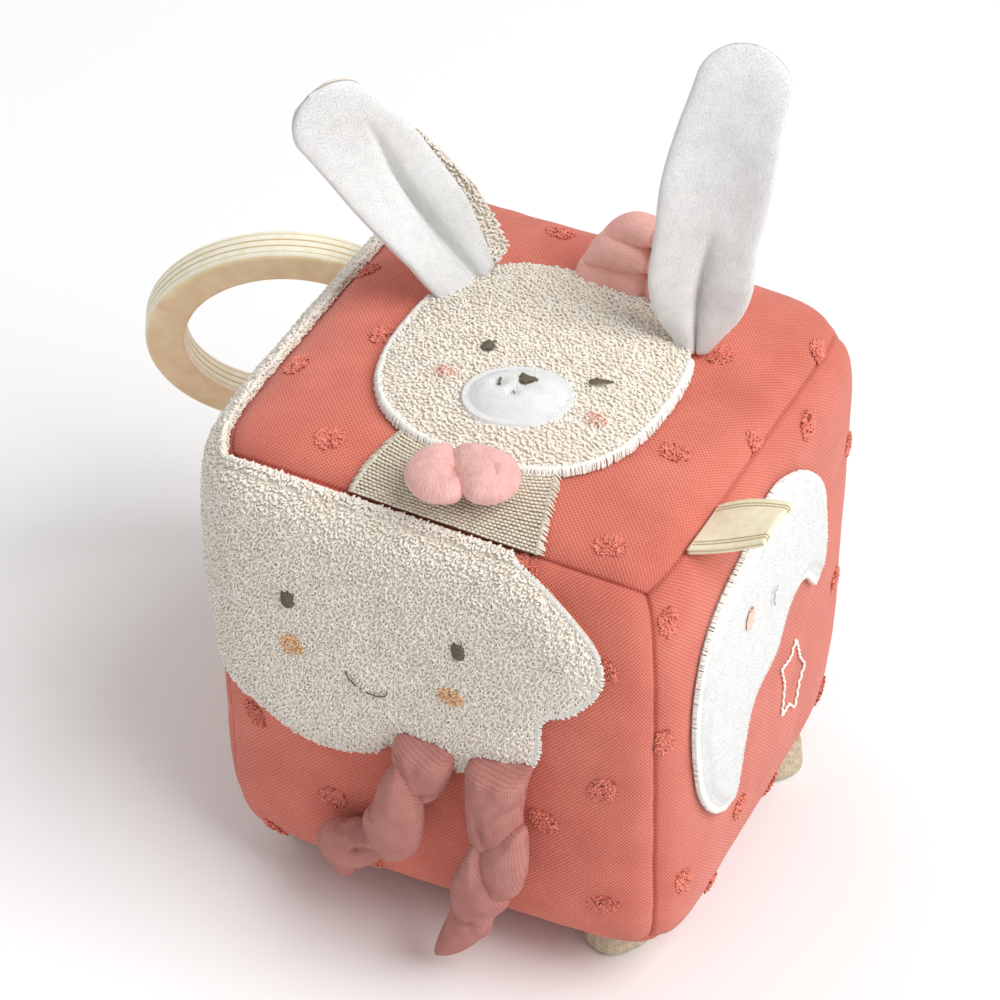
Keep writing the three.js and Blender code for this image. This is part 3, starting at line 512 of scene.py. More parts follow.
def look(name, dark, light, patch, rough=0.95, sheen=0.0, pitch=None, depth=0.3, painted_gap_shade=None, turn=0.0,
         randomness=0.12, on_cloth=False):
    """Soft blotches of a dark and a light screen colour, with a woven or knitted relief of the given pitch.

    The weave follows the places on the cloth or lies in space; the colour given for its gaps is a painted
    shade, darker where light does not reach between the yarns."""
    material = bpy.data.materials.new(name)
    material.use_nodes = True
    tree = material.node_tree
    surface = tree.nodes["Principled BSDF"]
    for setting, value in (("Roughness", rough), ("Sheen Weight", sheen), ("Sheen Roughness", 0.5),
                           ("Specular IOR Level", 0.15)):
        surface.inputs[setting].default_value = value
    where = node(tree, "ShaderNodeTexCoord", {}).outputs["Object"]
    blotch = node(tree, "ShaderNodeTexNoise",
                  {"Vector": where, "Scale": 1 / (patch * MM), "Detail": 4.0}).outputs["Fac"]
    colour = ramp(tree, blotch, (0.32, shade(dark)), (0.68, shade(light)))
    if pitch:
        if on_cloth:
            where = node(tree, "ShaderNodeUVMap", {}, uv_map="Cloth").outputs["UV"]
        turned = node(tree, "ShaderNodeMapping",
                      {"Vector": where, "Rotation": (0, 0, math.radians(turn))}).outputs["Vector"]
        cells = node(tree, "ShaderNodeTexVoronoi",
                     {"Vector": turned, "Scale": 1 / (pitch * MM), "Randomness": randomness},
                     voronoi_dimensions="2D" if on_cloth else "3D").outputs["Distance"]
        # Painted shade: the gaps between the yarns are darkened by this colour
        if painted_gap_shade:
            gap_painted_shade = ramp(tree, cells, (0.1, (*painted_gap_shade, 1)), (0.4, (1, 1, 1, 1)))
            colour = node(tree, "ShaderNodeMixRGB", {"Fac": 1.0, "Color1": colour, "Color2": gap_painted_shade},
                          blend_type="MULTIPLY").outputs["Color"]
        bump = node(tree, "ShaderNodeBump", {"Height": cells, "Strength": 0.9, "Distance": depth * MM},
                    invert=not painted_gap_shade)
        tree.links.new(bump.outputs["Normal"], surface.inputs["Normal"])
    tree.links.new(colour, surface.inputs["Base Color"])
    return material


WHITES = ((0.875, 0.875, 0.875), (0.905, 0.905, 0.90))
CREAMS = ((0.88, 0.83, 0.73), (0.95, 0.91, 0.83))
# Coral knit; its gap colour is painted shade between the yarns
KNIT = look("coral_knit", (0.845, 0.46, 0.395), (0.90, 0.515, 0.44), patch=14, sheen=0.2, pitch=0.78,
            painted_gap_shade=(0.6, 0.45, 0.43), turn=45, on_cloth=True)
# Painted light: the tufts are of the knit's coral yarn, made paler here to offset the shade among their
# threads
TUFT_PAINTED_LIGHT = look("coral_tuft_painted_light", (0.88, 0.50, 0.43), (0.95, 0.60, 0.53), patch=2, sheen=0.1)
TERRY = look("cream_terry", (0.94, 0.905, 0.855), (0.975, 0.955, 0.92), patch=3, sheen=0.1)
# Painted shade: the cloth under the terry loops is darker than their own cream, standing for the shadows
# between them
TERRY_BASE_PAINTED_SHADE = look("cream_terry_base_painted_shade", (0.885, 0.84, 0.775), (0.93, 0.895, 0.84), patch=1.4)
PLUSH = look("white_plush", *WHITES, patch=2.2, sheen=0.2)
LINEN = look("linen", (0.50, 0.44, 0.35), (0.64, 0.58, 0.48), patch=1.2, pitch=0.75, depth=0.4)
FOOT_LINEN = look("linen_feet", (0.72, 0.66, 0.56), (0.84, 0.79, 0.70), patch=1.2, pitch=0.75, depth=0.4)
LINEN_DOTS = look("linen_dots", (0.87, 0.83, 0.75), (0.94, 0.91, 0.85), patch=1.2)
# Painted light: the ear bow's rose gauze, with its gaps, is made lighter than the cloth is to offset the
# shadow that the right ear casts on it
BOW_GAUZE_PAINTED_LIGHT = look("rose_gauze", (0.96, 0.72, 0.68), (0.98, 0.77, 0.73), patch=5, pitch=0.55, depth=0.14,
             painted_gap_shade=(0.9, 0.84, 0.83), randomness=0.15, on_cloth=True)
# Painted shade: the same rose gauze as the ear bow, darkened on the legs, which lie on the shaded front face;
# its gaps are darker too
LEG_GAUZE_PAINTED_SHADE = look("rose_gauze_legs_painted_shade", (0.71, 0.48, 0.45), (0.76, 0.54, 0.505), patch=5, pitch=0.55, depth=0.16,
                 painted_gap_shade=(0.74, 0.64, 0.62), randomness=0.15, on_cloth=True)
VELVET = look("rose_velvet", (0.88, 0.67, 0.64), (0.93, 0.735, 0.705), patch=2, sheen=0.3, pitch=0.5,
              depth=0.15, randomness=1.0, on_cloth=True)
RIBBON = look("cream_ribbon", (0.93, 0.88, 0.75), (0.97, 0.93, 0.82), patch=2, rough=0.6, pitch=0.3,
              depth=0.05)
TAPE = look("cotton_tape", *CREAMS, patch=1.5, pitch=0.5, depth=0.15)
STRIPE = look("ribbon_stripe", (0.70, 0.62, 0.48), (0.79, 0.71, 0.56), patch=0.6, rough=0.6)
WOOD_FACE = look("plywood_face", (0.93, 0.83, 0.67), (0.98, 0.91, 0.76), patch=5, rough=0.55)
WOOD_EDGE = look("plywood_edge", (0.95, 0.93, 0.83), (0.99, 0.97, 0.90), patch=2.5, rough=0.5)
WOOD_LINE = look("plywood_line", (0.80, 0.70, 0.52), (0.86, 0.77, 0.60), patch=1.5, rough=0.6)
TAUPE = look("taupe_thread", (0.36, 0.32, 0.26), (0.48, 0.43, 0.36), patch=0.8, rough=0.5, sheen=0.2)
ORANGE = look("orange_thread", (0.93, 0.74, 0.56), (0.97, 0.82, 0.66), patch=0.8, rough=0.5)
BLUSH = look("blush_thread", (0.95, 0.76, 0.70), (0.98, 0.84, 0.78), patch=0.8, rough=0.5)
WHITE = look("white_thread", (0.93, 0.92, 0.89), (0.98, 0.97, 0.95), patch=0.8, rough=0.5)
GREY = look("grey_thread", (0.72, 0.71, 0.70), (0.80, 0.79, 0.78), patch=0.8, rough=0.5)
FILLING = look("fibre_filling", *WHITES, patch=4)
PLASTIC = look("rattle_plastic", *CREAMS, patch=20, rough=0.4)

# How a cloth gets its surface: what makes it, how far apart its loops or fibres are, its look and its slot
COVERS = {
    "terry": (terry_loops, TERRY_PITCH, TERRY, "cream_terry"),
    "plush": (pile, PILE_PITCH, PLUSH, "white_plush"),
}


def everywhere(a, b):
    """A rule that keeps every place."""
    return np.full(a.shape, True)


def cover(name, kind, place, field, seed, rule, body="block", spread=1, **size):
    """Loops or fibres over those places of a rectangle that a rule keeps; spread sets them wider apart."""
    make, pitch, material, slot = COVERS[kind]
    a, b = scatter(*field, spread * pitch, seed)
    keep = rule(a, b)
    piece(name, *make(place, a[keep], b[keep], seed + 1, **size), material, slot=slot, body=body)


# The six knit panels, the fibre inside them, the rattle and the tufted dots
SEAM_LINES = np.array([0, 0.25, 0.5, 0.8, 1.15, 1.6, 2.2, 3, 4])  # close grid lines beside a seam
FILLING_DEPTH = 2.1  # of the fibre under the knit
TUFT_STRANDS = 260
TUFT_HALF = (3.5, 2.7)
TUFT_RADIUS = 0.23  # of one thread
# Middles of the dots on each face, as shares of half the side
TUFT_SHARES = {
    "top": [(-0.493, -0.774), (-0.83, -0.449), (-0.889, 0.227), (-0.57, -0.17), (-0.268, 0.76),
            (0.706, -0.829), (0.952, 0.659), (0.96, 0.01), (0.61, 0.311), (0.696, -0.278), (0.3, 0.86)],
    "front": [(-0.75, -0.23), (-0.401, -0.504), (0.2, -0.8), (0.509, -0.253), (0.749, -0.016),
              (0.741, -0.64), (-0.753, -0.9), (-0.28, -0.86), (0.441, 0.942), (0.755, 0.568)],
    "right": [(-0.906, 0.809), (-0.63, 0.529), (-0.96, 0.234), (0.707, -0.14), (0.754, -0.767),
              (0.16, -0.848), (-0.821, -0.578), (-0.521, -0.86), (0.322, 0.856), (-0.308, -0.562),
              (0.8, 0.45)],
    "left": [(0.7, -0.6), (0.25, -0.4), (-0.2, -0.75), (-0.6, -0.3), (-0.8, 0.2), (-0.75, -0.8),
             (0.3, -0.85)],
    "back": [(-0.8, -0.7), (-0.3, -0.8), (0.25, -0.72), (0.75, -0.8), (-0.6, -0.25), (-0.05, -0.3),
             (0.5, -0.2), (0.85, 0.15), (-0.85, 0.2), (-0.3, 0.25), (0.2, 0.3), (0.62, 0.6), (-0.65, 0.7),
             (-0.1, 0.8)],
    "bottom": [(-0.4, -0.3), (0.15, -0.45), (0.3, 0.2), (-0.2, 0.35), (-0.05, -0.85), (0.8, 0.0),
               (-0.8, 0.05)],
}


def make_panels():
    reach = SEAM_LINES[-1]
    inner = np.linspace(-HALF + reach, HALF - reach, int(90 * DETAIL))
    lines = np.concatenate([-HALF + SEAM_LINES, inner[1:-1], (HALF - SEAM_LINES)[::-1]])
    a, b = np.meshgrid(lines, lines, indexing="ij")
    for face in FACES:
        points = skin(face, a, b)
        panel = piece(f"knit_{face}", points, facing_out(points, grid_faces(*a.shape)), KNIT,
                      slot="coral_knit", uv=np.stack([a, b], -1), replaces=[f"panel_{face}"])


def make_tufts():
    """Tufted dots: short cut threads, longest in the middle of each dot."""
    rng = np.random.RandomState(11)
    parts = []
    for face, s, t in ((face, *place) for face, places in TUFT_SHARES.items() for place in places):
        radius = np.sqrt(rng.uniform(0, 1, TUFT_STRANDS))
        angle = rng.uniform(0, TAU, TUFT_STRANDS)
        tilt = rng.uniform(0, math.pi)
        x, y = TUFT_HALF[0] * radius * np.cos(angle), TUFT_HALF[1] * radius * np.sin(angle)
        a = np.clip(s * HALF + x * math.cos(tilt) - y * math.sin(tilt), -HALF, HALF)
        b = np.clip(t * HALF + x * math.sin(tilt) + y * math.cos(tilt), -HALF, HALF)
        along, other, out = directions(partial(skin, face), a, b)
        lean = rng.uniform(1.2, 4, (TUFT_STRANDS, 1))
        turn = rng.uniform(0, TAU, (TUFT_STRANDS, 1))
        way = unit(out + lean * (along * np.cos(turn) + other * np.sin(turn)))
        tall = rng.uniform(0.7, 1.4, (TUFT_STRANDS, 1)) * (1.1 - 0.4 * radius[:, None])
        base = skin(face, a, b) - 0.3 * out
        tip = base + way * tall + 0.25 * out
        parts.append(np.stack([base, base + way * tall * 0.5 + 0.35 * out, tip], 1))
    # The tufts' coral carries painted light
    piece("tufted_dots", *strands(np.concatenate(parts), TUFT_RADIUS), TUFT_PAINTED_LIGHT, slot="coral_knit")


def make_filling():
    """The fibre inside the panels, one closed cushion."""
    lines = np.linspace(-HALF, HALF, 20)
    a, b = np.meshgrid(lines, lines, indexing="ij")
    sides = [(skin(face, a, b, -FILLING_DEPTH), grid_faces(*a.shape)) for face in FACES]
    piece("filling", *joined(sides), FILLING, slot="fibre_filling",
          replaces=["filling_lower", "filling_upper"])


def make_rattle():
    """The rattle keeps the part's own shapes."""
    for name in ("rattle_cup", "rattle_lid", "rattle_bead_1", "rattle_bead_2", "rattle_bead_3"):
        mesh = frame["nodes"][name].data
        mesh.materials.clear()
        mesh.materials.append(PLASTIC)


# Rabbit head: an oval pad of terry, a plush muzzle on it and the face; all places are on the top face
HEAD_MIDDLE = (1.9, -5.6)
HEAD_HALF = (31.8, 33.8)
HEAD_SQUARENESS = 2.6
HEAD_EDGE = 1.6
HEAD_PAD = 2.6
HEAD_BORDER = (112, 144)  # where its stitched border starts and how far it goes, in 240ths of the rim
HEAD_FIELD = ((-31, -40), (37, 30))  # corners of the rectangle that its loops are scattered over
MUZZLE_MIDDLE = (5.6, -21.5)
MUZZLE_HALF = (12.2, 9.0)
MUZZLE_TURN = 25
MUZZLE_EDGE = 0.8
MUZZLE_PAD = 2.3
MUZZLE_RIM = 0.88  # share of the way out where its flat rim starts
MUZZLE_FIELD = ((-7, -34), (18, -9))
MUZZLE_DENTS = ((1.2, -21.5, 1.0, 1.7), (5.4, -23.4, 0.9, 1.3), (6.5, -19.5, 0.4, 2.6))  # place, depth, reach
LEFT_EYE = (-7.6, -9.6)
EYE_TICK = [(-7.2, -8.7), (-6.4, -7.8)]
RIGHT_EYE = (19.3, -9.1)
WINK = [[(17.3, -10.6), (18.7, -8.6)], [(17.7, -11.0), (19.4, -8.6)], [(18.2, -11.0), (20.2, -8.3)],
        [(18.8, -10.6), (21.0, -8.0)], [(19.6, -9.9), (21.9, -7.9)]]
HEAD_CHEEKS = ((-12.6, -20.7), (23.5, -19.5))
NOSE = (6.3, -19.6)
NOSE_OUTLINE = ((-1.5, 1.7), (0.6, 1.5), (2.6, 1.6), (1.4, 0.3), (0.2, -1.0), (-0.9, -0.6), (-1.4, 0.5))
MOUTH = (([(0.9, -20.4), (1.2, -21.6), (1.7, -22.6)], 0.3), ([(5.3, -23.1), (5.9, -23.8)], 0.18))


def head_share(a, b):
    """Share of the way from the head's middle to its rim."""
    return oval_share(a, b, HEAD_MIDDLE, HEAD_HALF, squareness=HEAD_SQUARENESS)


def head_height(a, b):
    """Top of the head pad over the cube's cloth."""
    return PATCH_GAP + HEAD_EDGE + HEAD_PAD * (1 - np.minimum(1, head_share(a, b)) ** 3)


def on_head(a, b, lift=0.0):
    return top_place(a, b, head_height(a, b) + lift)


def muzzle_share(a, b):
    """Share of the way from the muzzle's middle to its rim."""
    return oval_share(a, b, MUZZLE_MIDDLE, MUZZLE_HALF, MUZZLE_TURN)


def muzzle_height(a, b):
    """Top of the muzzle: a flat rim and a raised middle."""
    share = np.minimum(1, muzzle_share(a, b))
    dents = sum(depth * np.exp(-(np.hypot(a - x, b - y) / reach) ** 2) for x, y, depth, reach in MUZZLE_DENTS)
    dome = MUZZLE_PAD * (1 - np.clip(share / MUZZLE_RIM, 0, 1) ** 3.2)
    return head_height(a, b) + PATCH_GAP + MUZZLE_EDGE + dome - dents


def on_muzzle(a, b, lift=0.0):
    return top_place(a, b, muzzle_height(a, b) + lift)


def oval_pad(name, middle, rim, height, rows, material, slot, replaces):
    """A padded patch on the top face, with rows of points out from its middle to its rim."""
    share = np.linspace(0.01, 1, rows)[:, None]
    a, b = middle[0] + share * rim[:, 0], middle[1] + share * rim[:, 1]
    made = quilt(name, top_place, a, b, height(a, b), material, slot, replaces, closed=True)


def head_shows(a, b):
    """Where the head's loops show: not under the muzzle, the eye or the wink."""
    eye = np.hypot(a - LEFT_EYE[0], b - LEFT_EYE[1]) < 1.5
    wink = np.hypot((a - RIGHT_EYE[0]) / 1.4, b - RIGHT_EYE[1]) < 1.2
    return (head_share(a, b) < 0.985) & (muzzle_share(a, b) > 0.98) & ~eye & ~wink


def make_head():
    rim = circle((0, 0), *HEAD_HALF, count=96, squareness=HEAD_SQUARENESS)
    # The head pad's cloth carries the painted shade between its loops
    oval_pad("head_pad", HEAD_MIDDLE, rim, head_height, 26, TERRY_BASE_PAINTED_SHADE, "cream_terry", ["head_applique"])
    cover("head_terry", "terry", on_head, HEAD_FIELD, 21, head_shows)
    rim = circle(HEAD_MIDDLE, *HEAD_HALF, count=240, squareness=HEAD_SQUARENESS)
    rim = np.roll(rim, -HEAD_BORDER[0], axis=0)[:HEAD_BORDER[1]]
    border = satin(on_head, rim, 23, out_reach=0.8, in_reach=1.0, lift=0.55)
    piece("head_border", *border, WHITE, slot="cream_terry")


def make_muzzle():
    rim = circle((0, 0), *MUZZLE_HALF, MUZZLE_TURN, count=96)
    oval_pad("muzzle_pad", MUZZLE_MIDDLE, rim, muzzle_height, 40, PLUSH, "white_plush", ["muzzle"])
    cover("muzzle_pile", "plush", on_muzzle, MUZZLE_FIELD, 24, lambda a, b: muzzle_share(a, b) < 1)


def make_face():
    """Eyes, cheeks, nose and mouth of the rabbit."""
    eye = patch_stitches(above(on_head, 0.8), circle(LEFT_EYE, 1.3, 1.5), 31, turn=0.4, lift=0.4)
    tick = running_thread(above(on_head, 1.0), EYE_TICK, radius=0.22, lift=0.3)
    wink = [running_thread(above(on_head, 1.0), line, radius=0.24, lift=0.35) for line in WINK]
    piece("rabbit_eyes", *joined([eye, tick, *wink]), TAUPE, slot="cream_terry")
    cheeks = fuzzy_cheeks(on_head, HEAD_CHEEKS, (2.7, 1.6), 33)
    piece("rabbit_cheeks", *cheeks, BLUSH, slot="cream_terry")
    outline = [(NOSE[0] + x, NOSE[1] + y) for x, y in NOSE_OUTLINE]
    nose = patch_stitches(above(on_muzzle, 0.35), outline, 34, turn=0.3, lift=0.4)
    mouth = [running_thread(above(on_muzzle, 0.4), line, radius, lift=0.25) for line, radius in MOUTH]
    piece("rabbit_nose", *joined([nose, *mouth]), TAUPE, slot="white_plush")


# Ears: a plush front and a slimmer terry back on one bent middle line, cupped, with a fold down the front
EAR_STATIONS = [0, 0.05, 0.13, 0.24, 0.38, 0.54, 0.7, 0.82, 0.91, 0.97, 1]
EAR_SWELLS = [0.3, 0.5, 0.75, 0.94, 1, 0.98, 0.9, 0.8, 0.64, 0.42, 0.2]
EAR_TIP = 0.87  # where the round end of an ear starts
EAR_WIDTH = 23.5
EAR_THICKNESS = 9
EAR_RIM = 1.1
EAR_CUP = 4.5
EAR_CUP_START = 0.24
EAR_FOLDS = ((0.75, 0.09), (0.35, 0.26))  # a fold is a narrow dip in a wide one: depth, width
EAR_WAVES = ((0.5, 14, 8), (0.25, 6, 9))  # height, size, seed
BACK_SWELL = 0.45  # the back bulges this much of what the front does
BACK_TUCK = (0.985, 0.93)  # share of the length and of the left half's width that its cloth covers
LIP_END = 0.62  # how far up the back cloth shows beside the front one
EARS = {
    "left": {"root": (0.8, -1.5, -2.5), "reach": (-29.5, -21.3, 50.3), "bow": (-9.7, 7.6, 0),
             "side": (0.5, 0.87, 0), "length": 60,
             "widths": [0.82, 0.92, 1.01, 1.04, 1.03, 0.98, 0.89, 0.83, 0.81, 0.79, 0.77],
             "fold": (-0.08, 0.9), "fold_end": 0.8, "fold_depth": 1.3, "lip": 0.52},
    "right": {"root": (-0.9, -0.8, -3.2), "reach": (6, 10.7, 70.8), "bow": (-5.3, -0.7, 2.3),
              "side": (0.93, 0.36, 0), "length": 73,
              "widths": [0.235, 0.47, 0.79, 0.95, 0.94, 0.99, 0.94, 0.87, 0.85, 0.83, 0.81],
              "fold": (-0.02, 0.6), "fold_end": 0.42, "fold_depth": 1.1, "lip": 0},
}


def smooth_share(values, u):
    """A smooth curve through the ear's shares, read at u."""
    fine = curve(np.stack([EAR_STATIONS, values], -1), 200)
    return np.maximum(np.interp(u, fine[:, 0], fine[:, 1]), 0)


def ear_width(ear, u):
    """Share of an ear's full width at u, with a round tip."""
    end = np.clip((u - EAR_TIP) / (1 - EAR_TIP), 0, 1)
    return smooth_share(ear["widths"], u) * np.sqrt(1 - end**2.2)


def ear_place(side_name, u, across, layer, lipped=False):
    """A point of an ear: u from foot to tip, across from -1 to 1, layer 1 in front and -1 behind.

    Lipped leaves the strip free where the back cloth shows beside the front one."""
    ear = EARS[side_name]
    u, across = arrays(u, across)
    foot = joint_place(f"ear_{side_name}_bend") + ear["root"]
    reach = np.array(ear["reach"], float)
    middle = foot + reach / 2 + np.array(ear["bow"])
    t = u[..., None]
    line = (1 - t) ** 2 * foot + 2 * t * (1 - t) * middle + t**2 * (foot + reach)
    ahead = unit(2 * (1 - t) * (middle - foot) + 2 * t * (foot + reach - middle))
    front = unit(np.cross(unit(np.array(ear["side"], float)), ahead))
    side = np.cross(ahead, front)
    width = ear_width(ear, u)
    swell = EAR_THICKNESS / 2 * smooth_share(EAR_SWELLS, u) * np.sqrt(np.maximum(1 - across**2, 0))
    swell = swell * (BACK_SWELL * np.clip((0.97 - u) / 0.3, 0, 1) if layer < 0 else 1)
    cup = EAR_CUP * across**2 * width * np.minimum(1, u / EAR_CUP_START) * np.minimum(1, 0.3 + (1 - u) / 0.4)
    depth = ear["fold_depth"] * np.clip(1.6 * (1 - u / ear["fold_end"]), 0, 1)
    aside = across - ear["fold"][0] - ear["fold"][1] * u**2
    folds = sum(share * np.exp(-((aside / wide) ** 2)) for share, wide in EAR_FOLDS)
    crease = 1 - depth * folds * (layer > 0)
    lip = ear["lip"] * lipped * np.clip(across, 0, 1) * np.clip(1 - u / LIP_END, 0, 1)
    point = line + side * (EAR_WIDTH / 2 * width * (across - lip))[..., None]
    wave = sum(height * noise(point, size, seed) for height, size, seed in EAR_WAVES)
    offset = cup + layer * (EAR_RIM / 2 + swell * crease + wave)
    return point + front * offset[..., None]


def make_ear(side_name):
    body, ear = f"ear_{side_name}", EARS[side_name]
    length, half = ear["length"], EAR_WIDTH / 2

    def on_layer(layer, a, b):
        """A place on one layer, a along the ear and b across it."""
        return ear_place(side_name, a / length, b / half, layer, layer > 0)

    u, across = np.meshgrid(1 - (1 - np.linspace(0, 1, int(90 * DETAIL))) ** 1.25,
                            np.sin(np.linspace(-1, 1, int(60 * DETAIL)) * math.pi / 2), indexing="ij")
    back = (BACK_TUCK[0] * u, np.where(across < 0, BACK_TUCK[1] * across, across))
    # The back cloth carries the painted shade between its terry loops
    for layer, word, places, material, slot in ((1, "front", (u, across), PLUSH, "white_plush"),
                                                (-1, "back", back, TERRY_BASE_PAINTED_SHADE, "cream_terry")):
        points = ear_place(side_name, *places, layer, layer > 0)
        middle = ear_place(side_name, *places, 0, layer > 0) * 0.9 + points * 0.1
        made = piece(f"{body}_{word}_cloth", *shell(points, middle), material, body=body, slot=slot,
                     replaces=[f"{body}_{word}"])
    cover(f"{body}_back_terry", "terry", partial(on_layer, -1), ((1.5, -half), (length - 1, half)), 41,
          lambda a, b: (b / half > -0.82) & (b / half < 0.93) & (a < 0.94 * length), body)
    if ear["lip"]:
        lip = lambda a, b: (-b / half > 1 - ear["lip"] * (1 - a / length / LIP_END)) & (b > 0.02 - half)
        cover(f"{body}_edge_terry", "terry", lambda a, b: on_layer(0, a, -b),
              ((0, -half), (LIP_END * length, 0)), 45, lip, body, spread=0.9, height=0.9)
    cover(f"{body}_pile", "plush", partial(on_layer, 1), ((0.3, -half), (length - 0.3, half)), 43,
          lambda a, b: np.abs(b) / half < 0.985, body, side=-1)


# Stuffed bows and legs, each built of pillows that overlap as the folds of its cloth do
PLANES = {"leg": ("front", 59.4), "chest": ("top", 58.7), "crown": ("front", -34.0)}
PILLOW_GRID = (22, 96)
FOLD_HEIGHT = 0.28
FOLD_SIZE = 3.4
LEG_TUCK = 5.0  # length over which a leg's top end thins out under the cloud

# The filling presses on each pillow's cloth in a simulation, on a coarse grid and at a larger scale
CLOTH_SCALE = 50
CLOTH_GRID = (12, 48)
CLOTH_FRAMES = 16
CLOTH_PRESSURE = 4
CLOTH_SLACK = 0.05  # share by which the cloth is larger than the form, which gives it its wrinkles
CLOTH_CAP = 0.9  # most that a point moves


def flat_place(plane, a, b, level):
    """A place at (a, b) on a plane, raised by level."""
    face, base = PLANES[plane]
    s_axis, t_axis, n_axis = FACES[face]
    a, b, level = arrays(a, b, level)
    return SHIFT + a[..., None] * s_axis + b[..., None] * t_axis + (base + level)[..., None] * n_axis


def pillow_shell(plane, outline, tall, levels, seed, grid, grain=0.0, creases=(), tuck=0.0, plump=7.5):
    """Front and back of a stuffed form inside an outline, over a grid of rows out from its middle.

    Levels are how high its middle lies at its top and at its bottom. Creases are lines pushed into its front:
    points, depth, width. Grain turns the weave."""
    rows, around = grid
    rim = closed_curve(outline, around)
    middle = rim.mean(0)
    rim = middle + 0.955 * (rim - middle)
    share = np.sin(np.linspace(0, math.pi / 2, rows))[:, None, None]
    places = middle + share * (rim - middle)
    a, b = places[..., 0], places[..., 1]
    distance, _ = edge_distance(a, b, rim)
    distance[-1] = 0
    bulge = np.sqrt(1 - (1 - np.clip(distance / min(distance.max(), plump), 0, 1)) ** 2)
    down = (b.max() - b) / (b.max() - b.min())
    level = levels[0] * (1 - down) + levels[1] * down
    free = np.clip((b.max() - b) / tuck, 0.12, 1) if tuck else np.ones(a.shape)
    where = np.stack([a, b, 0 * a], -1)
    front = tall * bulge * free + FOLD_HEIGHT * bulge * noise(where, FOLD_SIZE, seed)
    for line, depth, width in creases:
        aside, _ = edge_distance(a, b, line, closed=False)
        front = front - depth * bulge * np.exp(-(aside / width) ** 2)
    turn = math.radians(grain)
    cloth = np.stack([a * math.cos(turn) - b * math.sin(turn), a * math.sin(turn) + b * math.cos(turn)], -1)
    points = np.stack([flat_place(plane, a, b, level * free + front),
                       flat_place(plane, a, b, level * free - tall * bulge * free)])
    return points, np.stack([cloth, cloth]), free[..., None]


def cloth_moves(points):
    """How far each point of a pillow moves when its filling presses on its cloth."""
    rows, around = points.shape[1:3]
    inner = (rows - 2) * around
    index = np.zeros((2, rows, around), int)
    index[1, 0] = 1
    index[:, -1] = 2 + np.arange(around)
    index[:, 1:-1] = 2 + around + np.arange(2 * inner).reshape(2, rows - 2, around)
    start = np.zeros((2 + around + 2 * inner, 3))
    start[index] = points - points.reshape(-1, 3).mean(0)
    quads = grid_faces(rows, around, closed=True)
    quads = np.concatenate([index[0].ravel()[quads], index[1].ravel()[quads[:, ::-1]]])
    faces = [list(dict.fromkeys(quad)) for quad in facing_out(start + SHIFT, quads).tolist()]
    mesh = bpy.data.meshes.new("cloth_trial")
    mesh.from_pydata((start * CLOTH_SCALE * MM).tolist(), [], faces)
    trial = bpy.data.objects.new("cloth_trial", mesh)
    scene = bpy.context.scene
    scene.collection.objects.link(trial)
    cloth = trial.modifiers.new("Cloth", "CLOTH")
    cloth.settings.use_pressure = True
    cloth.settings.uniform_pressure_force = CLOTH_PRESSURE
    cloth.settings.shrink_min = -CLOTH_SLACK
    cloth.settings.effector_weights.gravity = 0
    cloth.collision_settings.use_collision = False
    for number in range(1, CLOTH_FRAMES + 1):
        scene.frame_set(number)
    settled = trial.evaluated_get(bpy.context.evaluated_depsgraph_get())
    after = np.empty(3 * len(start), np.float32)
    settled.data.vertices.foreach_get("co", after)
    moves = after.reshape(-1, 3) / (CLOTH_SCALE * MM) - start
    bpy.data.objects.remove(trial)
    bpy.data.meshes.remove(mesh)
    scene.frame_set(1)
    far = np.linalg.norm(moves, axis=-1, keepdims=True)
    return (moves * np.minimum(1, CLOTH_CAP / np.maximum(far, 1e-9)))[index]


def on_grid(moves, grid):
    """Moves of a coarse grid, read on a finer one."""
    row = np.linspace(0, moves.shape[1] - 1, grid[0])
    column = np.arange(grid[1]) * moves.shape[2] / grid[1]
    i, j = np.floor(row).astype(int), np.floor(column).astype(int)
    after_i, after_j = np.minimum(i + 1, moves.shape[1] - 1), (j + 1) % moves.shape[2]
    p, q = (row - i)[:, None, None], (column - j)[:, None]
    first = moves[:, i][:, :, j] * (1 - q) + moves[:, i][:, :, after_j] * q
    second = moves[:, after_i][:, :, j] * (1 - q) + moves[:, after_i][:, :, after_j] * q
    return first * (1 - p) + second * p


def pillow(**values):
    """A stuffed form with its simulated wrinkles: points, faces and places on its cloth."""
    points, cloth, free = pillow_shell(grid=PILLOW_GRID, **values)
    coarse = pillow_shell(grid=CLOTH_GRID, **values)[0]
    points = points + free * on_grid(cloth_moves(coarse), PILLOW_GRID)
    rows, around = PILLOW_GRID
    faces = grid_faces(rows, around, closed=True)
    faces = np.concatenate([faces, faces[:, ::-1] + rows * around])
    return points, facing_out(points, faces), cloth


def stuffed(name, pillows, material, body, replaces):
    """One piece of several pillows."""
    uv = np.concatenate([cloth.reshape(-1, 2) for *_, cloth in pillows])
    made = piece(name, *joined(pillow[:2] for pillow in pillows), material, body=body, slot="rose_gauze",
                 replaces=replaces, uv=uv)


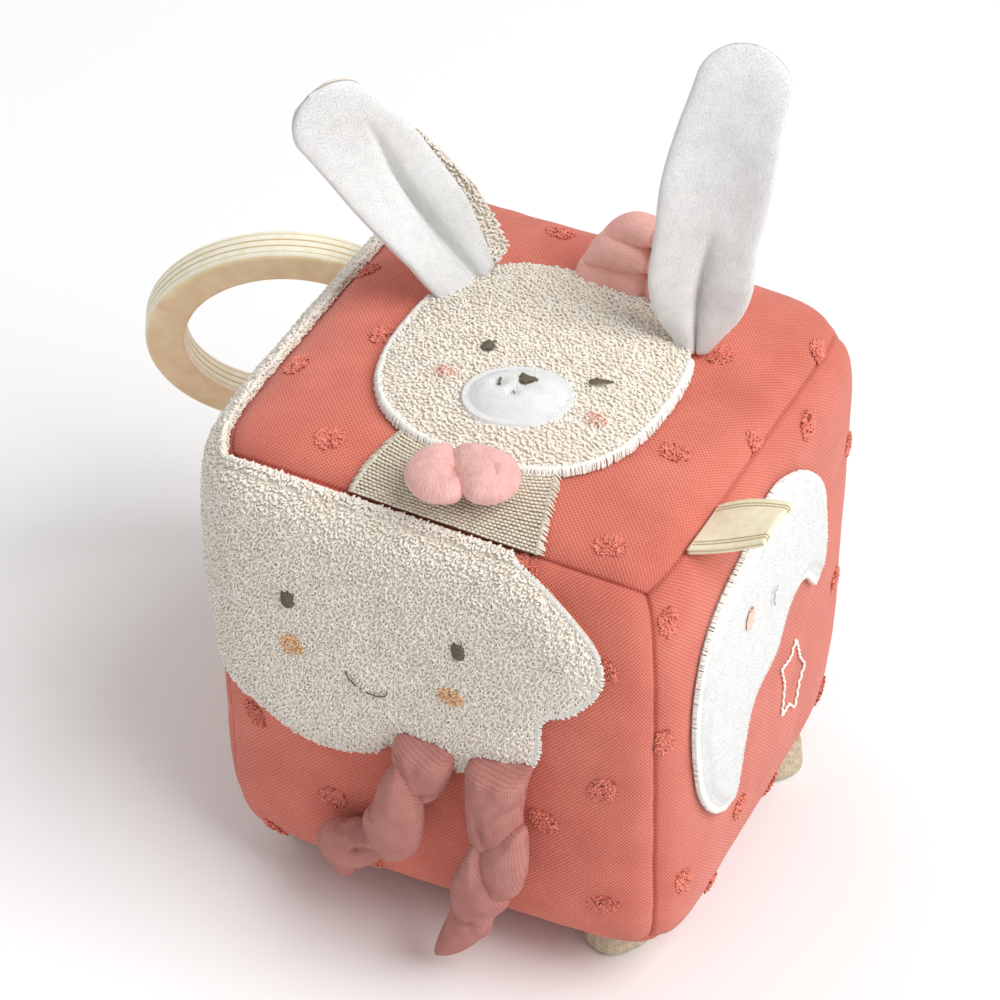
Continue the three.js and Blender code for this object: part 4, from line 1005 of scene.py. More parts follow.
# The pillows of each leg: outline on the front, bulge, height of its middle at top and bottom, weave, creases
LEG_PILLOWS = {
    "left": [
        dict(outline=[(-3.0, 1.4), (-3.3, -6.2), (-2.0, -10.4), (1.0, -15.8), (6.8, -13.6), (9.9, -8.7),
                      (11.5, -0.8), (9.2, 2.8), (2.8, 3.2)],
             tall=4.5, levels=(4.4, 4.8), grain=12, tuck=LEG_TUCK,
             creases=[([(2.4, -12.4), (5.5, -10.4), (7.5, -10.6)], 1.6, 0.8),
                      ([(4, -4), (4.4, -9)], 0.5, 1.4)]),
        dict(outline=[(-13.1, -27.9), (-17.9, -30.1), (-21.8, -32.7), (-23.9, -37.9), (-22.8, -41.3),
                      (-19.1, -45.9), (-16, -47.3), (-12, -43.6), (-7.1, -38.7), (-3.7, -32.4),
                      (-7.7, -27.4)],
             tall=3.5, levels=(4.8, 4.0), grain=4,
             creases=[([(-12.4, -34.6), (-8.7, -31.8)], 1.0, 0.7), ([(-10.6, -30.4), (-13, -37)], 0.6, 1.1)]),
        dict(outline=[(-0.4, -3.1), (-4.6, -9.3), (-7, -16.6), (-8.8, -20.7), (-8, -24.9), (-3.6, -30.3),
                      (-1.4, -31), (1.7, -29.5), (4.6, -26), (5.7, -20.1), (5.4, -13.5), (4, -9.3),
                      (1.7, -4.8)],
             tall=4.4, levels=(7.2, 9.4), grain=38, creases=[([(-7, -17), (-3, -22)], 0.35, 1.6)]),
    ],
    "right": [
        dict(outline=[(14.7, 1.2), (14.3, -12), (15, -18.3), (16.8, -23.5), (21.3, -22.9), (27.3, -18.9),
                      (27.9, -9.8), (29.3, 1), (28.7, 4.3), (22, 4)],
             tall=4.9, levels=(4.6, 5.0), grain=2, tuck=LEG_TUCK,
             creases=[([(19.2, -10.4), (20.8, -16.2)], 1.1, 0.8), ([(22.6, -8), (29.3, -5)], 0.9, 1.0),
                      ([(23, -12), (28.8, -10)], 0.5, 0.9)]),
        dict(outline=[(9.9, -45.6), (7.9, -52), (6.1, -58.8), (6.5, -60.6), (9.4, -60.1), (13.8, -56.4),
                      (17.6, -51.5), (20.2, -47.1), (20.4, -40), (15.8, -38), (11.5, -39)],
             tall=3.7, levels=(5.4, 4.4), grain=8,
             creases=[([(16, -43), (17.4, -48)], 0.9, 0.9), ([(12.6, -43.4), (17.6, -44)], 0.7, 0.8)]),
        dict(outline=[(18.8, -20.5), (21, -16.6), (26.4, -12.4), (29.2, -13), (29.8, -21.9),
                      (29.2, -26.6), (27.7, -30.7), (23.2, -33.3), (20.7, -31.2), (19.2, -26.5)],
             tall=4.4, levels=(6.6, 7.4), grain=-6, creases=[([(20.4, -20.4), (29.4, -17.6)], 0.5, 0.9)]),
        dict(outline=[(18.6, -16.1), (16.2, -22.4), (12.8, -30.8), (12.8, -35.4), (13.9, -38.8),
                      (18.8, -39.6), (23.7, -37), (26.4, -32.4), (23.6, -28.6), (21.2, -24.2),
                      (19.8, -18.7)],
             tall=4.4, levels=(7.6, 9.2), grain=-38, creases=[([(17.6, -31), (25.6, -33.4)], 0.45, 1.1)]),
    ],
}
# The cloth that runs on inside a knot, from the part above to the tail: places on the front and their level
LEG_CORES = {
    "left": [(2.5, -7, 5), (0, -14, 7), (-1.5, -21, 8.4), (-5.5, -28, 6.8), (-10, -33.5, 4.8),
             (-14, -38, 4.4)],
    "right": [(21.5, -8, 4.8), (23, -18, 6), (21, -28, 7.6), (18.5, -34, 8.2), (16, -41, 6.8),
              (14.5, -47, 5)],
}
CORE_RADIUS = 2.7
CORE_POINTS = 24


def make_leg(side_name):
    """A knotted leg: the part above the knot, the tail below it, the knot's loops and its core."""
    body = f"leg_{side_name}"
    pillows = [pillow(plane="leg", seed=50 + i, **values) for i, values in enumerate(LEG_PILLOWS[side_name])]
    line = flat_place("leg", *curve(LEG_CORES[side_name], CORE_POINTS).T)
    thick = CORE_RADIUS * np.sqrt(np.maximum(1 - np.linspace(-1, 1, CORE_POINTS) ** 6, 0.001))
    points, faces = strands(line[None], thick, sides=18)
    pillows.append((points, faces, points[:, ::2]))
    # The legs' gauze carries painted shade
    stuffed(f"{body}_knotted", pillows, LEG_GAUZE_PAINTED_SHADE, body, [body])


CHEST_BOW = [
    dict(outline=[(-4.1, -54.9), (-5.3, -51.6), (-5.4, -48), (-4, -45), (-1.6, -43), (1.1, -42.6),
                  (5, -47.2), (8.3, -52.6), (8.8, -55), (7.3, -56.8), (5, -58), (2.2, -58.4), (-0.8, -57.6)],
         tall=3.7, levels=(4.6, 4.4), grain=30, plump=6.4,
         creases=[([(4.2, -50.4), (5.4, -52.4)], 2.2, 1.3), ([(3.4, -51.4), (0.8, -53)], 0.5, 1.2)]),
    dict(outline=[(2.2, -46.6), (1.6, -44), (3, -41.6), (5.8, -40.4), (10.2, -40.4), (14.2, -41.4),
                  (16.8, -43.8), (18.4, -47.3), (18.2, -50.6), (16.5, -53.4), (14.1, -55), (11, -55.4),
                  (7.6, -53.4), (4.4, -50)],
         tall=3.9, levels=(5.4, 5.2), grain=-20, plump=6.4,
         creases=[([(12.6, -48.2), (13.6, -49.8)], 1.3, 1.2),
                  ([(9.6, -54.6), (12, -55), (14.6, -54)], 0.7, 0.6)]),
]


def make_chest_bow():
    pillows = [pillow(plane="chest", seed=60 + i, **values) for i, values in enumerate(CHEST_BOW)]
    stuffed("chest_bow_velvet", pillows, VELVET, "block", ["chest_bow"])


CROWN_MIDDLE = 12  # the ear bow's folds meet here, counted to the right
CROWN_SHARE = 0.75  # width of its right half, as a share of the left one's
CROWN_FOLDS = [
    dict(outline=[(-0.6, 72.6), (0.6, 75), (2.8, 77.2), (5.5, 78.6), (8.4, 78.9), (12.6, 78), (14, 74.6),
                  (11, 72), (5.5, 71), (2.2, 71.4)],
         tall=4.6, levels=(0.6, 0.6), grain=4, creases=[([(6, 73.2), (11, 73.4)], 0.6, 0.9)]),
    dict(outline=[(-4, 66.6), (-3, 69.5), (-1.6, 72), (0.8, 74.2), (4.6, 74.8), (10.4, 73.4), (13.6, 70),
                  (12, 67.2), (4.6, 65.8), (-0.6, 65.6)],
         tall=5.6, levels=(2.2, 2.2), grain=0, creases=[([(4, 71.8), (10, 70.6)], 0.7, 0.9)]),
    dict(outline=[(-5.8, 62.2), (-5.4, 65), (-3.5, 67.4), (0.2, 69), (5, 69.2), (11, 68.4), (13.8, 65.2),
                  (13.6, 60.4), (8.6, 57.8), (3, 56.9), (-0.8, 56.6), (-4, 58.4)],
         tall=6.6, levels=(2.4, 2.4), grain=6, plump=6.6,
         creases=[([(1, 63), (1.6, 58.6)], 0.4, 1.2), ([(5, 67.6), (11, 66)], 0.6, 0.9)]),
]


def make_ear_bow():
    """Three stacked folds on each side of the middle."""
    pillows = []
    for i, values in enumerate(CROWN_FOLDS):
        pillows.append(pillow(plane="crown", seed=70 + i, **values))
        flipped = [(CROWN_MIDDLE + CROWN_SHARE * (CROWN_MIDDLE - x), z) for x, z in values["outline"]][::-1]
        pillows.append(pillow(plane="crown", seed=75 + i, **{**values, "outline": flipped, "creases": ()}))
    # The bow's gauze carries painted light
    stuffed("ear_bow_gauze", pillows, BOW_GAUZE_PAINTED_LIGHT, "block", ["ear_bow"])


# Collar: linen with pale floats in a brick pattern, between the chin and the front seam
COLLAR_TOP = (-14, 36)  # left end and length of its upper edge
COLLAR_BOTTOM = (-20, 49)
COLLAR_INSET = 0.4
COLLAR_HEIGHT = 1.05
WEAVE_ROWS = 22
WEAVE_COLUMNS = 42
FRINGE_ENDS = 52


def collar_place(u, v):
    """(a, b) of the linen patch: u from left to right, v from the chin to the seam."""
    top = COLLAR_TOP[0] + COLLAR_TOP[1] * u
    bottom = COLLAR_BOTTOM[0] + COLLAR_BOTTOM[1] * u
    aside = np.abs((top - HEAD_MIDDLE[0]) / (HEAD_HALF[0] + PATCH_GAP))
    drop = (HEAD_HALF[1] + PATCH_GAP) * (1 - aside**HEAD_SQUARENESS) ** (1 / HEAD_SQUARENESS)
    chin = HEAD_MIDDLE[1] - drop
    return top + (bottom - top) * v, chin + (-HALF + COLLAR_INSET - chin) * v


def make_collar():
    """Linen patch with its floats, and a fringe at both sides."""
    u, v = np.meshgrid(np.linspace(0, 1, 60), np.linspace(0, 1, 30), indexing="ij")
    a, b = collar_place(u, v)
    quilt("collar_linen", top_place, a, b, np.full(a.shape, COLLAR_HEIGHT), LINEN, "linen", ["collar"])
    rng = np.random.RandomState(81)
    i, j = (v.ravel() for v in np.meshgrid(np.arange(WEAVE_ROWS), np.arange(WEAVE_COLUMNS), indexing="ij"))
    middle = (j + 0.5 + 0.5 * (i % 2)) / (WEAVE_COLUMNS + 0.5)
    along = np.linspace(-0.3, 0.3, 5) / WEAVE_COLUMNS
    row = (i + 0.5) / WEAVE_ROWS + rng.uniform(-0.004, 0.004, len(i))
    a, b = collar_place(middle[:, None] + along, row[:, None] + 0 * along)
    floats = top_place(a, b, 0.98 + 0.26 * np.cos(np.linspace(-1.3, 1.3, 5)))
    piece("collar_weave", *strands(floats, 0.33, sides=5), LINEN_DOTS, slot="linen")
    ends = []
    fall = 1.2 + np.array([0.1, 0.35, 0.25, -0.2, -0.7])
    for u_edge, way in ((0.0, -1), (1.0, 1)):
        for v_edge in np.linspace(0.02, 0.98, FRINGE_ENDS):
            a, b = collar_place(u_edge, v_edge)
            x = np.linspace(-0.9, rng.uniform(0.6, 1.3), 5) * way
            ends.append(top_place(a + x, b + rng.uniform(-0.3, 0.3) * np.linspace(0, 1, 5), fall))
    piece("collar_fringe", *strands(ends, 0.16), LINEN_DOTS, slot="linen")


# Cloud, on the front and round the corner on the left face; its outline hangs from CLOUD_LEVEL
CLOUD_LENGTH = 102
CLOUD_HEIGHT = 68
CLOUD_TOP = HALF - 1.6
CLOUD_LEVEL = HALF - 2.5
CLOUD_FOOT = -15  # its loops are scattered from here up
CLOUD_FIELD = (-172, 48)  # and between these left and right ends
CLOUD_PAD = (0.9, 2.9, 11)  # height at its edge, full height, and where that is reached
CLOUD_EDGE_DIP = 0.5  # the pad is stretched thinner round the block's corner
CLOUD_EDGE_REACH = 12
CLOUD_POINTS = 260  # along its outline
CLOUD_BORDER_START = 188  # the first of those that has a stitched border
CLOUD_CROWN = 4  # strip at its top that is covered up to CLOUD_TOP
CLOUD_SHARES = [
    (-1.1, 0.02), (-1.09, 0.14), (-1.04, 0.3), (-0.96, 0.43), (-0.86, 0.5), (-0.8, 0.52), (-0.73, 0.66),
    (-0.61, 0.76), (-0.49, 0.75), (-0.42, 0.66), (-0.34, 0.76), (-0.23, 0.81), (-0.14, 0.77), (-0.075, 0.67),
    (-0.035, 0.73), (0.005, 0.8), (0.065, 0.88), (0.17, 0.93), (0.27, 0.99), (0.37, 1), (0.46, 0.965),
    (0.527, 0.885), (0.6, 0.905), (0.69, 0.915), (0.785, 0.866), (0.853, 0.75), (0.866, 0.585), (0.94, 0.507),
    (0.998, 0.38), (0.994, 0.265), (0.943, 0.165), (0.875, 0.08), (0.802, 0.015),
]
CLOUD_LINE = curve([(s * CLOUD_LENGTH - HALF, CLOUD_LEVEL - t * CLOUD_HEIGHT) for s, t in CLOUD_SHARES],
                   CLOUD_POINTS)
CLOUD_ENDS = (CLOUD_LINE[0, 0], CLOUD_LINE[-1, 0])
CLOUD_EYES = ((-30.4, 27.8), (11.8, 29.7))
CLOUD_CHEEKS = ((-29.6, 15.8), (10.1, 16.7))
CLOUD_SMILES = [[(-15.6, 14.4), (-14.9, 12.9), (-13.0, 11.3)], [(-12.2, 10.8), (-11.6, 11.2)],
                [(-10.6, 10.6), (-8.2, 10.4), (-6.2, 11.0), (-5.4, 12.0)]]


def cloud_height(w, b):
    distance, _ = edge_distance(w, b, CLOUD_LINE[::2])
    distance = np.minimum(distance, np.maximum(CLOUD_TOP - b, 0))
    edge = 1 - CLOUD_EDGE_DIP * np.exp(-(((w + HALF) / CLOUD_EDGE_REACH) ** 2))
    return PATCH_GAP + rise(distance, *CLOUD_PAD) * edge


def on_cloud(w, b, lift=0.0):
    return wall_place(w, b, cloud_height(w, b) + lift)


def cloud_shows(w, b):
    """Where the cloud's loops show: inside its edge and up to its top, but not under its eyes."""
    distance, inside = edge_distance(w, b, CLOUD_LINE[::2])
    top = (b > CLOUD_LEVEL - CLOUD_CROWN) & (w > CLOUD_ENDS[0]) & (w < CLOUD_ENDS[1])
    eyes = [np.hypot((w - x) / 0.85, b - y) > 1.9 for x, y in CLOUD_EYES]
    return ((inside & (distance > 0.3)) | top) & np.all(eyes, axis=0)


def make_cloud():
    """The pad, its loops on both faces, the loops along its top and its stitched border."""
    first, last = CLOUD_ENDS
    u, v = np.meshgrid(np.arange(len(CLOUD_LINE)), np.linspace(0, 1, 40), indexing="ij")
    low = CLOUD_LINE[u]
    w = np.clip(low[..., 0], first, last) * (1 - v) + low[..., 0] * v
    b = CLOUD_TOP * (1 - v) + low[..., 1] * v
    # The cloud pad's cloth carries the painted shade between its loops
    made = quilt("cloud_pad", wall_place, w, b, cloud_height(w, b), TERRY_BASE_PAINTED_SHADE, "cream_terry", ["cloud"])
    walls = (("front", 91, -HALF, CLOUD_FIELD[1]), ("left", 93, CLOUD_FIELD[0], -HALF))
    for name, seed, left, right in walls:
        field = ((left, CLOUD_FOOT), (right, CLOUD_TOP + 1.4))
        cover(f"cloud_terry_{name}", "terry", on_cloud, field, seed, cloud_shows, height=0.8, hang=1.0)
    brim = lambda w, lift: wall_place(-w, CLOUD_TOP, lift)
    cover("cloud_brim", "terry", brim, ((1 - last, 0.2), (-1 - first, 1.4)), 98, everywhere,
          spread=0.7, height=0.6, hang=0)
    line = CLOUD_LINE[CLOUD_BORDER_START:][::-1]
    border = satin(on_cloud, line, 95, out_reach=0.8, in_reach=1.1, lift=0.5)
    piece("cloud_border", *border, WHITE, slot="cream_terry")


def make_cloud_face():
    eyes = [patch_stitches(above(on_cloud, 0.7), circle(at, 1.4, 1.9, squareness=3.0), 96, turn=0.2, lift=0.4)
            for at in CLOUD_EYES]
    smile = [running_thread(above(on_cloud, 0.9), line, radius=0.19, lift=0.25) for line in CLOUD_SMILES]
    piece("cloud_eyes", *joined([*eyes, *smile]), TAUPE, slot="cream_terry")
    cheeks = fuzzy_cheeks(on_cloud, CLOUD_CHEEKS, (3.2, 2.3), 97)
    piece("cloud_cheeks", *cheeks, ORANGE, slot="cream_terry")


# Moon and star, on the right face
MOON_HALF = 33
MOON_AT = (-9, 9)
MOON_PAD = (0.7, 2.7, 6)  # height at its edge, full height, and where that is reached
MOON_FIELD = ((-48, -26), (26, 49))
MOON_DIP = (0.45, 2.2, 0.8)  # groove along its edge: depth, distance from the edge, width
MOON_POINTS = 110  # along each side of its outline


def moon_curve(shares):
    """A smooth line through places given as shares of the moon's half height."""
    return curve([(MOON_AT[0] + s * MOON_HALF, MOON_AT[1] + t * MOON_HALF) for s, t in shares],
                 MOON_POINTS)


MOON_OUTER = moon_curve([
    (-0.65, -0.95), (-0.84, -0.82), (-1.04, -0.52), (-1.12, -0.16), (-1.135, 0.166), (-1.094, 0.445),
    (-1.0, 0.7), (-0.86, 0.87), (-0.66, 0.98), (-0.43, 1.04), (-0.18, 1.12), (0.06, 1.17), (0.29, 1.14),
    (0.55, 1.02), (0.8, 0.81), (0.95, 0.56), (1.01, 0.28), (1.0, 0.1), (0.93, -0.02), (0.86, -0.07),
])
MOON_INNER = moon_curve([
    (-0.65, -0.95), (-0.5, -0.96), (-0.46, -0.88), (-0.43, -0.72), (-0.4, -0.53), (-0.35, -0.36),
    (-0.27, -0.25), (-0.13, -0.18), (0.01, -0.14), (0.1, -0.09), (0.17, 0.01), (0.25, 0.1), (0.36, 0.165),
    (0.48, 0.18), (0.59, 0.165), (0.7, 0.1), (0.79, 0.0), (0.86, -0.07),
])
MOON_RIM = np.concatenate([MOON_OUTER, MOON_INNER[::-1][1:-1]])
MOON_LASHES = [(-13.4, 24.4), (-13.9, 26.2), (-13.2, 27.8), (-11.6, 28.4)]
MOON_CHEEK = (-26, 30)
STAR_SHARES = [(0.181, -0.07), (0.237, -0.195), (0.326, -0.296), (0.27, -0.348), (0.235, -0.455),
               (0.152, -0.372), (0.062, -0.366), (0.072, -0.213), (0.029, -0.11), (0.123, -0.12)]


def moon_height(a, b):
    distance, _ = edge_distance(a, b, MOON_RIM)
    depth, reach, width = MOON_DIP
    return PATCH_GAP + rise(distance, *MOON_PAD) - depth * np.exp(-(((distance - reach) / width) ** 2))


def on_moon(a, b, lift=0.0):
    return right_place(a, b, moon_height(a, b) + lift)


def moon_shows(a, b):
    """Where the moon's pile shows: inside its edge."""
    distance, inside = edge_distance(a, b, MOON_RIM)
    return inside & (distance > 0.2)


def make_moon():
    v = np.linspace(0, 1, 30)[None, :, None]
    grid = MOON_OUTER[:, None] * (1 - v) + MOON_INNER[:, None] * v
    a, b = grid[..., 0], grid[..., 1]
    made = quilt("moon_pad", right_place, a, b, moon_height(a, b), PLUSH, "white_plush", ["moon"])
    cover("moon_pile", "plush", on_moon, MOON_FIELD, 101, moon_shows, spread=1.1)
    rim = np.concatenate([MOON_RIM, MOON_RIM[:2]])[::-1]
    border = satin(on_moon, rim, 103, out_reach=0.8, in_reach=0.8, lift=0.45, pitch=0.27, ragged=0.2)
    piece("moon_border", *border, WHITE, slot="white_plush")


def make_star():
    star = np.array(STAR_SHARES + STAR_SHARES[:1]) * HALF
    sides = [running_thread(right_place, star[i:i + 2], radius=0.33, lift=0.5, stitch=2.0)
             for i in range(len(STAR_SHARES))]
    piece("star_stitches", *joined(sides), WHITE, slot="coral_knit")


def make_moon_face():
    lashes = running_thread(above(on_moon, 0.5), MOON_LASHES, radius=0.2, lift=0.3)
    piece("moon_lashes", *lashes, GREY, slot="white_plush")
    cheek = patch_stitches(above(on_moon, 0.5), circle(MOON_CHEEK, 2.4, 1.4, 60), 104, lift=0.3)
    piece("moon_cheek", *cheek, BLUSH, slot="white_plush")


# Tag: a folded ribbon that stands out from the seam with a slight arch and curl
TAG_RISE = 20
TAG_WIDTH = 16.5
TAG_LENGTH = 17
TAG_LAYER = 0.5
TAG_GAP = 0.36  # half of what lies between its two layers
TAG_TAPER = 2.0  # the near edge draws in by this at the tip
TAG_ARCH = 1.5
TAG_CURL = 0.5
STRIPE_LINES = (-6.6, -5.6, 5.6, 6.6)
STRIPE_ARCH = (-0.07, 0.01, 0.04, 0.01, -0.07)


def tag_profile():
    """The folded ribbon seen from its edge: out along the lower layer, round the fold and back."""
    x = np.linspace(0, TAG_LENGTH - 0.8, 24)
    fold = [(x[-1] + TAG_GAP * math.cos(t), TAG_GAP * math.sin(t))
            for t in np.linspace(-math.pi / 2, math.pi / 2, 9)]
    return np.array([(q, -TAG_GAP) for q in x] + fold + [(q, TAG_GAP) for q in x[::-1]])


def tag_place(profile, s, y, lift):
    """A point of the ribbon: s counts along the profile, y across it."""
    angle = math.radians(TAG_RISE)
    out = np.array([math.cos(angle), 0, math.sin(angle)])
    up = np.array([-math.sin(angle), 0, math.cos(angle)])
    slope = unit(np.gradient(profile, axis=0))
    read = lambda values: np.interp(s, np.arange(len(profile)), values)
    normal = np.stack([read(slope[:, 1]), -read(slope[:, 0])], -1)
    q = np.stack([read(profile[:, 0]), read(profile[:, 1])], -1) + normal * np.asarray(lift)[..., None]
    out_share = q[..., 0] / TAG_LENGTH
    y = y + TAG_TAPER * out_share * (0.5 - y / TAG_WIDTH)
    arch = TAG_ARCH * np.sin(math.pi * np.clip(out_share, 0, 1)) * (0.3 + y / TAG_WIDTH)
    curl = TAG_CURL * out_share**2 + arch + 0.35 * np.sin(y / 4 + q[..., 0] / 9) * out_share
    return (joint_place("tag_flex") + q[..., :1] * out + (q[..., 1] + curl)[..., None] * up
            + y[..., None] * np.array([0, 1, 0]))


def make_tag():
    """The ribbon and the plain stripes that are woven along its edges."""
    profile = tag_profile()
    s, y = np.meshgrid(np.linspace(0, len(profile) - 1, 90), np.linspace(-TAG_WIDTH / 2, TAG_WIDTH / 2, 26),
                       indexing="ij")
    outer = tag_place(profile, s, y, np.full(s.shape, TAG_LAYER / 2))
    inner = tag_place(profile, s, y, np.full(s.shape, -TAG_LAYER / 2 + 0.05))
    piece("tag_ribbon", *shell(outer, inner), RIBBON, body="tag", slot="cream_ribbon", replaces=["tag"])
    stitches = []
    for y_line in STRIPE_LINES:
        for start in np.arange(2, 89, 1.35):
            s = np.linspace(start, start + 1.2, 5) * (len(profile) - 1) / 91
            y = np.full(5, y_line) + np.linspace(-0.18, 0.18, 5)
            stitches.append(tag_place(profile, s, y, TAG_LAYER / 2 + np.array(STRIPE_ARCH)))
    piece("tag_stripe", *strands(stitches, 0.14, sides=5), STRIPE, body="tag", slot="cream_ribbon")


# Ring and its strap: a loop of tape round the ring, and a tab from the seam to the loop
RING_OUTER = 35
RING_INNER = 25
RING_THICKNESS = 8.2
RING_ROUND = 1.4
RING_TURN = 27.5  # direction from the ring to its strap, seen from above
PLY_LINES = (-2.7, -0.9, 0.9, 2.7)  # levels where its layers meet
PLY_HALF = 0.16
STRAP_WIDTH = 12
STRAP_THICKNESS = 1.3
STRAP_SLACK = 1.3
STRAP_REACH = STRAP_SLACK + STRAP_THICKNESS / 2  # from the wood to the middle of the tape


def ring_axes():
    """Middle of the ring, direction to the strap, upward direction and the way it faces."""
    facing = unit(np.array(joints["ring_slide"]["axis"], float))
    to_strap = np.array([math.cos(math.radians(RING_TURN)), math.sin(math.radians(RING_TURN)), 0])
    to_strap = unit(to_strap - (to_strap @ facing) * facing)
    return joint_place("ring_slide"), to_strap, np.cross(facing, to_strap), facing


def rounded_rectangle(left, right, low, high, radius, steps, side_steps):
    """Points round a rectangle with round corners."""
    points = []
    for cx, cz, start in ((right - radius, low + radius, -90), (right - radius, high - radius, 0),
                          (left + radius, high - radius, 90), (left + radius, low + radius, 180)):
        for angle in np.radians(np.linspace(start, start + 90, steps)):
            points.append((cx + radius * math.cos(angle), cz + radius * math.sin(angle)))
    points = np.array(points)
    fine = []
    for here, there in zip(points, np.roll(points, -1, axis=0)):
        extra = side_steps if np.linalg.norm(there - here) > 2 else 1
        fine += [here + (there - here) * k / extra for k in range(extra)]
    return np.array(fine)


def make_ring():
    """The ring, with its two flat faces, its pale edges and the dark lines between its layers."""
    middle, to_strap, upward, facing = ring_axes()
    half = RING_THICKNESS / 2
    profile = rounded_rectangle(RING_INNER, RING_OUTER, -half, half, RING_ROUND, steps=5, side_steps=24)
    count = 220
    angle = TAU * np.arange(count) / count
    way = np.cos(angle)[:, None] * to_strap + np.sin(angle)[:, None] * upward
    points = middle + way[None] * profile[:, 0, None, None] + facing * profile[:, 1, None, None]
    made = piece("ring_plywood", points, ring_faces(len(profile), count), WOOD_FACE, body="ring",
                 slot="plywood", replaces=["ring"])
    made.data.materials.append(WOOD_EDGE)
    made.data.materials.append(WOOD_LINE)
    radius, level = ((profile + np.roll(profile, -1, axis=0)) / 2).T
    edge = (radius > RING_OUTER - 0.45) | (radius < RING_INNER + 0.45)
    ply = np.min([np.abs(level - at) for at in PLY_LINES], axis=0)
    kind = np.where(edge, np.where(ply < PLY_HALF, 2, 1), 0)
    made.data.polygons.foreach_set("material_index", np.repeat(kind, count).astype(np.int32))


def tape(path, side, closed=False):
    """Strap tape along a path, with rounded edges."""
    path = np.asarray(path, float)
    ahead = np.roll(path, -1, axis=0) - np.roll(path, 1, axis=0) if closed else np.gradient(path, axis=0)
    normal = unit(np.cross(unit(ahead), side))
    half, deep = STRAP_WIDTH / 2, STRAP_THICKNESS / 2
    shape = rounded_rectangle(-half, half, -deep, deep, STRAP_THICKNESS * 0.42, 4, 10)
    points = path[:, None] + shape[:, 0, None] * side + shape[:, 1, None] * normal[:, None]
    if closed:
        return points, ring_faces(*points.shape[:2])
    first, last = (points[i].mean(0)[None, None].repeat(len(shape), 1) for i in (0, -1))
    return np.concatenate([first, points, last]), grid_faces(len(path) + 2, len(shape), closed=True)


def make_strap():
    middle, to_strap, upward, facing = ring_axes()
    half = RING_THICKNESS / 2 + STRAP_REACH
    outline = rounded_rectangle(RING_INNER - STRAP_REACH, RING_OUTER + STRAP_REACH, -half, half, 2.2, 7, 8)
    loop = middle + outline[:, :1] * to_strap + outline[:, 1:] * facing
    outer = middle + to_strap * (RING_OUTER + STRAP_REACH)
    hinge = joint_place("ring_droop")
    depth = (hinge - middle) @ facing
    neck = [outer + facing * z for z in np.linspace(3.8, depth - 0.2, 6)]
    piece("ring_loop_tape", *joined([tape(loop, upward, closed=True), tape(neck, upward)]), TAPE,
          body="ring_loop", slot="cotton_tape", replaces=["ring_loop"])
    rng = np.random.RandomState(111)
    stitches = []
    for x in np.linspace(-5, 5, 9):
        line = [outer + to_strap * z + upward * (x + t) + facing * (depth - 1.6)
                for t, z in ((-0.5, 0.5), (-0.25, 0.8), (0.25, 0.8), (0.5, 0.5))]
        stitches.append(line + rng.uniform(-0.05, 0.05, (1, 3)))
    piece("ring_loop_stitches", *strands(stitches, 0.16, sides=5), WHITE, body="ring_loop",
          slot="cotton_tape")
    seam = joint_place("ring_strap_swing")
    v = np.linspace(-0.5, 0.5, 13)[:, None]
    far = hinge + facing * 0.2 + v * STRAP_WIDTH * upward
    root = seam + np.array([0, 0, 1]) * (v * STRAP_WIDTH - seam[2] + middle[2])
    u = np.linspace(0, 1, 7)[:, None, None]
    grid = root * (1 - u) + far * u
    layer = to_strap * STRAP_THICKNESS / 2
    piece("ring_tab_tape", *shell(grid + layer, grid - layer), TAPE, body="ring_strap", slot="cotton_tape",
          replaces=["ring_tab"])


# Feet: four stuffed stubs; a profile is (share of the radius, height)
FEET = {"front_left": (-42, -34.5), "front_right": (38, -36.5), "back_left": (-41, 37),
        "back_right": (48, 33)}
FOOT_PROFILE = [(0.02, 0), (0.45, 0), (0.62, 0.06), (0.84, 0.3), (0.97, 0.9), (1.0, 2.0), (1.0, 3.6),
                (0.98, 5.4), (0.94, 7.8), (0.7, 9.0), (0.35, 9.5), (0.02, 9.6)]
FOOT_RADIUS = 7.6
FOOT_GRID = (26, 56)


def make_feet():
    profile = curve(FOOT_PROFILE, FOOT_GRID[0])
    angle = TAU * np.arange(FOOT_GRID[1]) / FOOT_GRID[1]
    high = profile[:, 1, None] + 0 * angle
    tilt = 1 - 0.06 * np.clip(high / 6, 0, 1)
    for name, (x, y) in FEET.items():
        wave = 1 + 0.035 * np.sin(3 * angle + x) + 0.03 * np.sin(5 * angle + y)
        radius = FOOT_RADIUS * profile[:, 0, None] * wave
        points = np.stack([SHIFT[0] + x + radius * np.cos(angle) * tilt,
                           SHIFT[1] + y + radius * np.sin(angle) * tilt, high], -1)
        made = piece(f"foot_{name}_linen", points, grid_faces(*FOOT_GRID, closed=True), FOOT_LINEN,
                     slot="linen", replaces=[f"foot_{name}"])


# Studio: camera as in the photo, soft lights, a pale floor
CAMERA_AZIMUTH = 26.5
CAMERA_ELEVATION = 37.8
CAMERA_SHIFT = (-8.7, 16.4, 684)  # from the cube's middle: right in the picture, up in it, towards the eye
CAMERA_LENS = 108
FLOOR_HALF = 3.0  # metres
FLOOR_LEVEL = -0.0002
LIGHT_TARGET = (0, 0, 0.06)
LIGHTS = (("Key", (1.8, -0.22, 2.1), 1.9, 66), ("Fill", (-1.5, 1.0, 2.1), 2.2, 12))  # place, size, power
SKY = 0.46


def linked(name, data):
    """An object in the scene."""
    made = bpy.data.objects.new(name, data)
    bpy.context.scene.collection.objects.link(made)
    return made


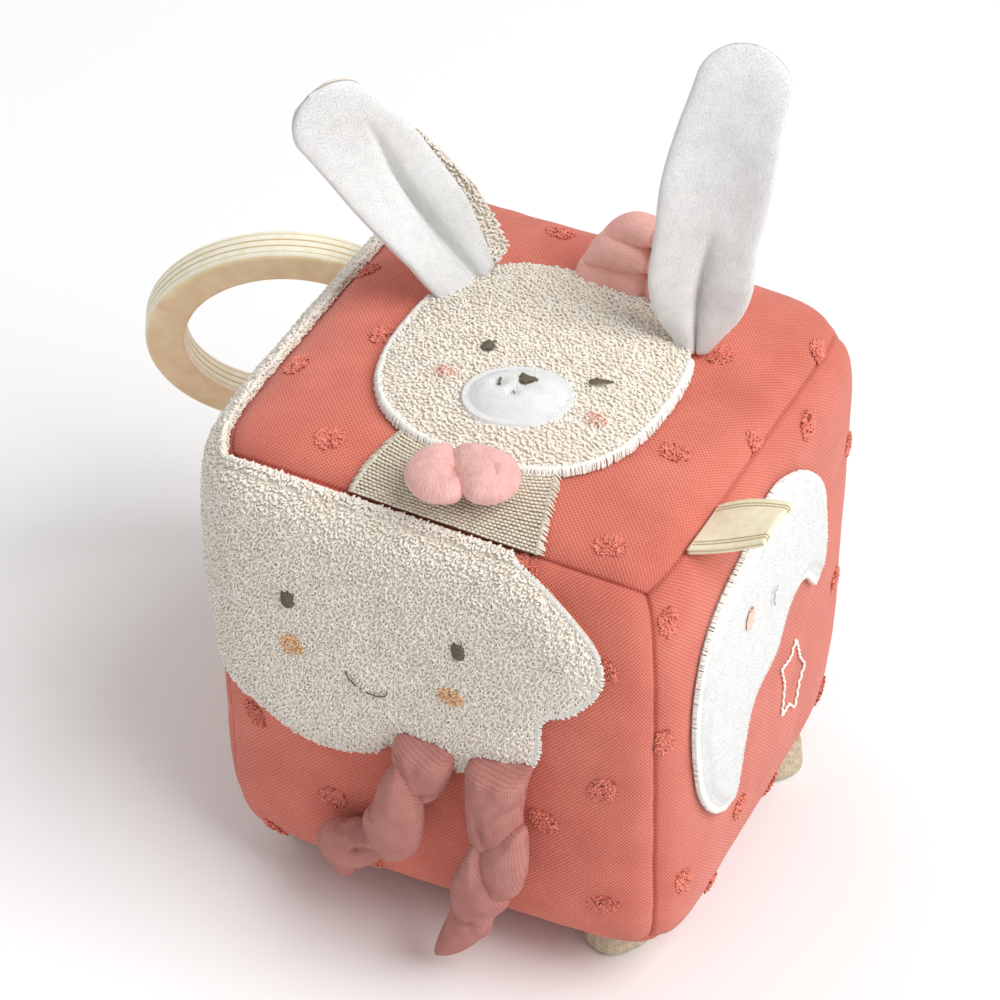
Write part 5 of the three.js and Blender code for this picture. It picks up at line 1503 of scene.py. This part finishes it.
def make_camera():
    azimuth, elevation = math.radians(CAMERA_AZIMUTH), math.radians(CAMERA_ELEVATION)
    right = np.array([math.cos(azimuth), math.sin(azimuth), 0])
    back = np.array([math.sin(azimuth) * math.cos(elevation), -math.cos(azimuth) * math.cos(elevation),
                     math.sin(elevation)])
    axes = np.array([right, np.cross(back, right), back])
    camera = linked("Camera", bpy.data.cameras.new("Camera"))
    camera.location = (SHIFT + CAMERA_SHIFT @ axes) * MM
    camera.rotation_euler = Vector(back).to_track_quat("Z", "Y").to_euler()
    camera.data.lens = CAMERA_LENS
    camera.data.sensor_width = 36
    camera.data.clip_end = 20
    bpy.context.scene.camera = camera


def make_floor():
    mesh = bpy.data.meshes.new("Floor")
    corners = [(x * FLOOR_HALF, y * FLOOR_HALF, FLOOR_LEVEL) for x, y in ((-1, -1), (1, -1), (1, 1), (-1, 1))]
    mesh.from_pydata(corners, [], [(0, 1, 2, 3)])
    white = bpy.data.materials.new("floor_white")
    white.use_nodes = True
    surface = white.node_tree.nodes["Principled BSDF"]
    surface.inputs["Base Color"].default_value = (0.93, 0.93, 0.93, 1)
    surface.inputs["Roughness"].default_value = 1.0
    surface.inputs["Specular IOR Level"].default_value = 0.0
    mesh.materials.append(white)
    floor = linked("Floor", mesh)


def make_lights():
    scene = bpy.context.scene
    scene.world = bpy.data.worlds.new("Studio")
    scene.world.use_nodes = True
    background = scene.world.node_tree.nodes["Background"]
    background.inputs["Color"].default_value = (1, 1, 1, 1)
    background.inputs["Strength"].default_value = SKY
    for name, at, size, power in LIGHTS:
        light = linked(name, bpy.data.lights.new(name, "AREA"))
        light.data.size = size
        light.data.energy = power
        light.location = at
        light.rotation_euler = (Vector(at) - Vector(LIGHT_TARGET)).to_track_quat("Z", "Y").to_euler()
    scene.view_settings.view_transform = "Standard"


make_panels()
make_tufts()
make_filling()
make_rattle()
make_head()
make_muzzle()
make_face()
make_ear("left")
make_ear("right")
make_collar()
make_chest_bow()
make_ear_bow()
make_cloud()
make_cloud_face()
make_leg("left")
make_leg("right")
make_moon()
make_star()
make_moon_face()
make_tag()
make_ring()
make_strap()
make_feet()
make_camera()
make_floor()
make_lights()
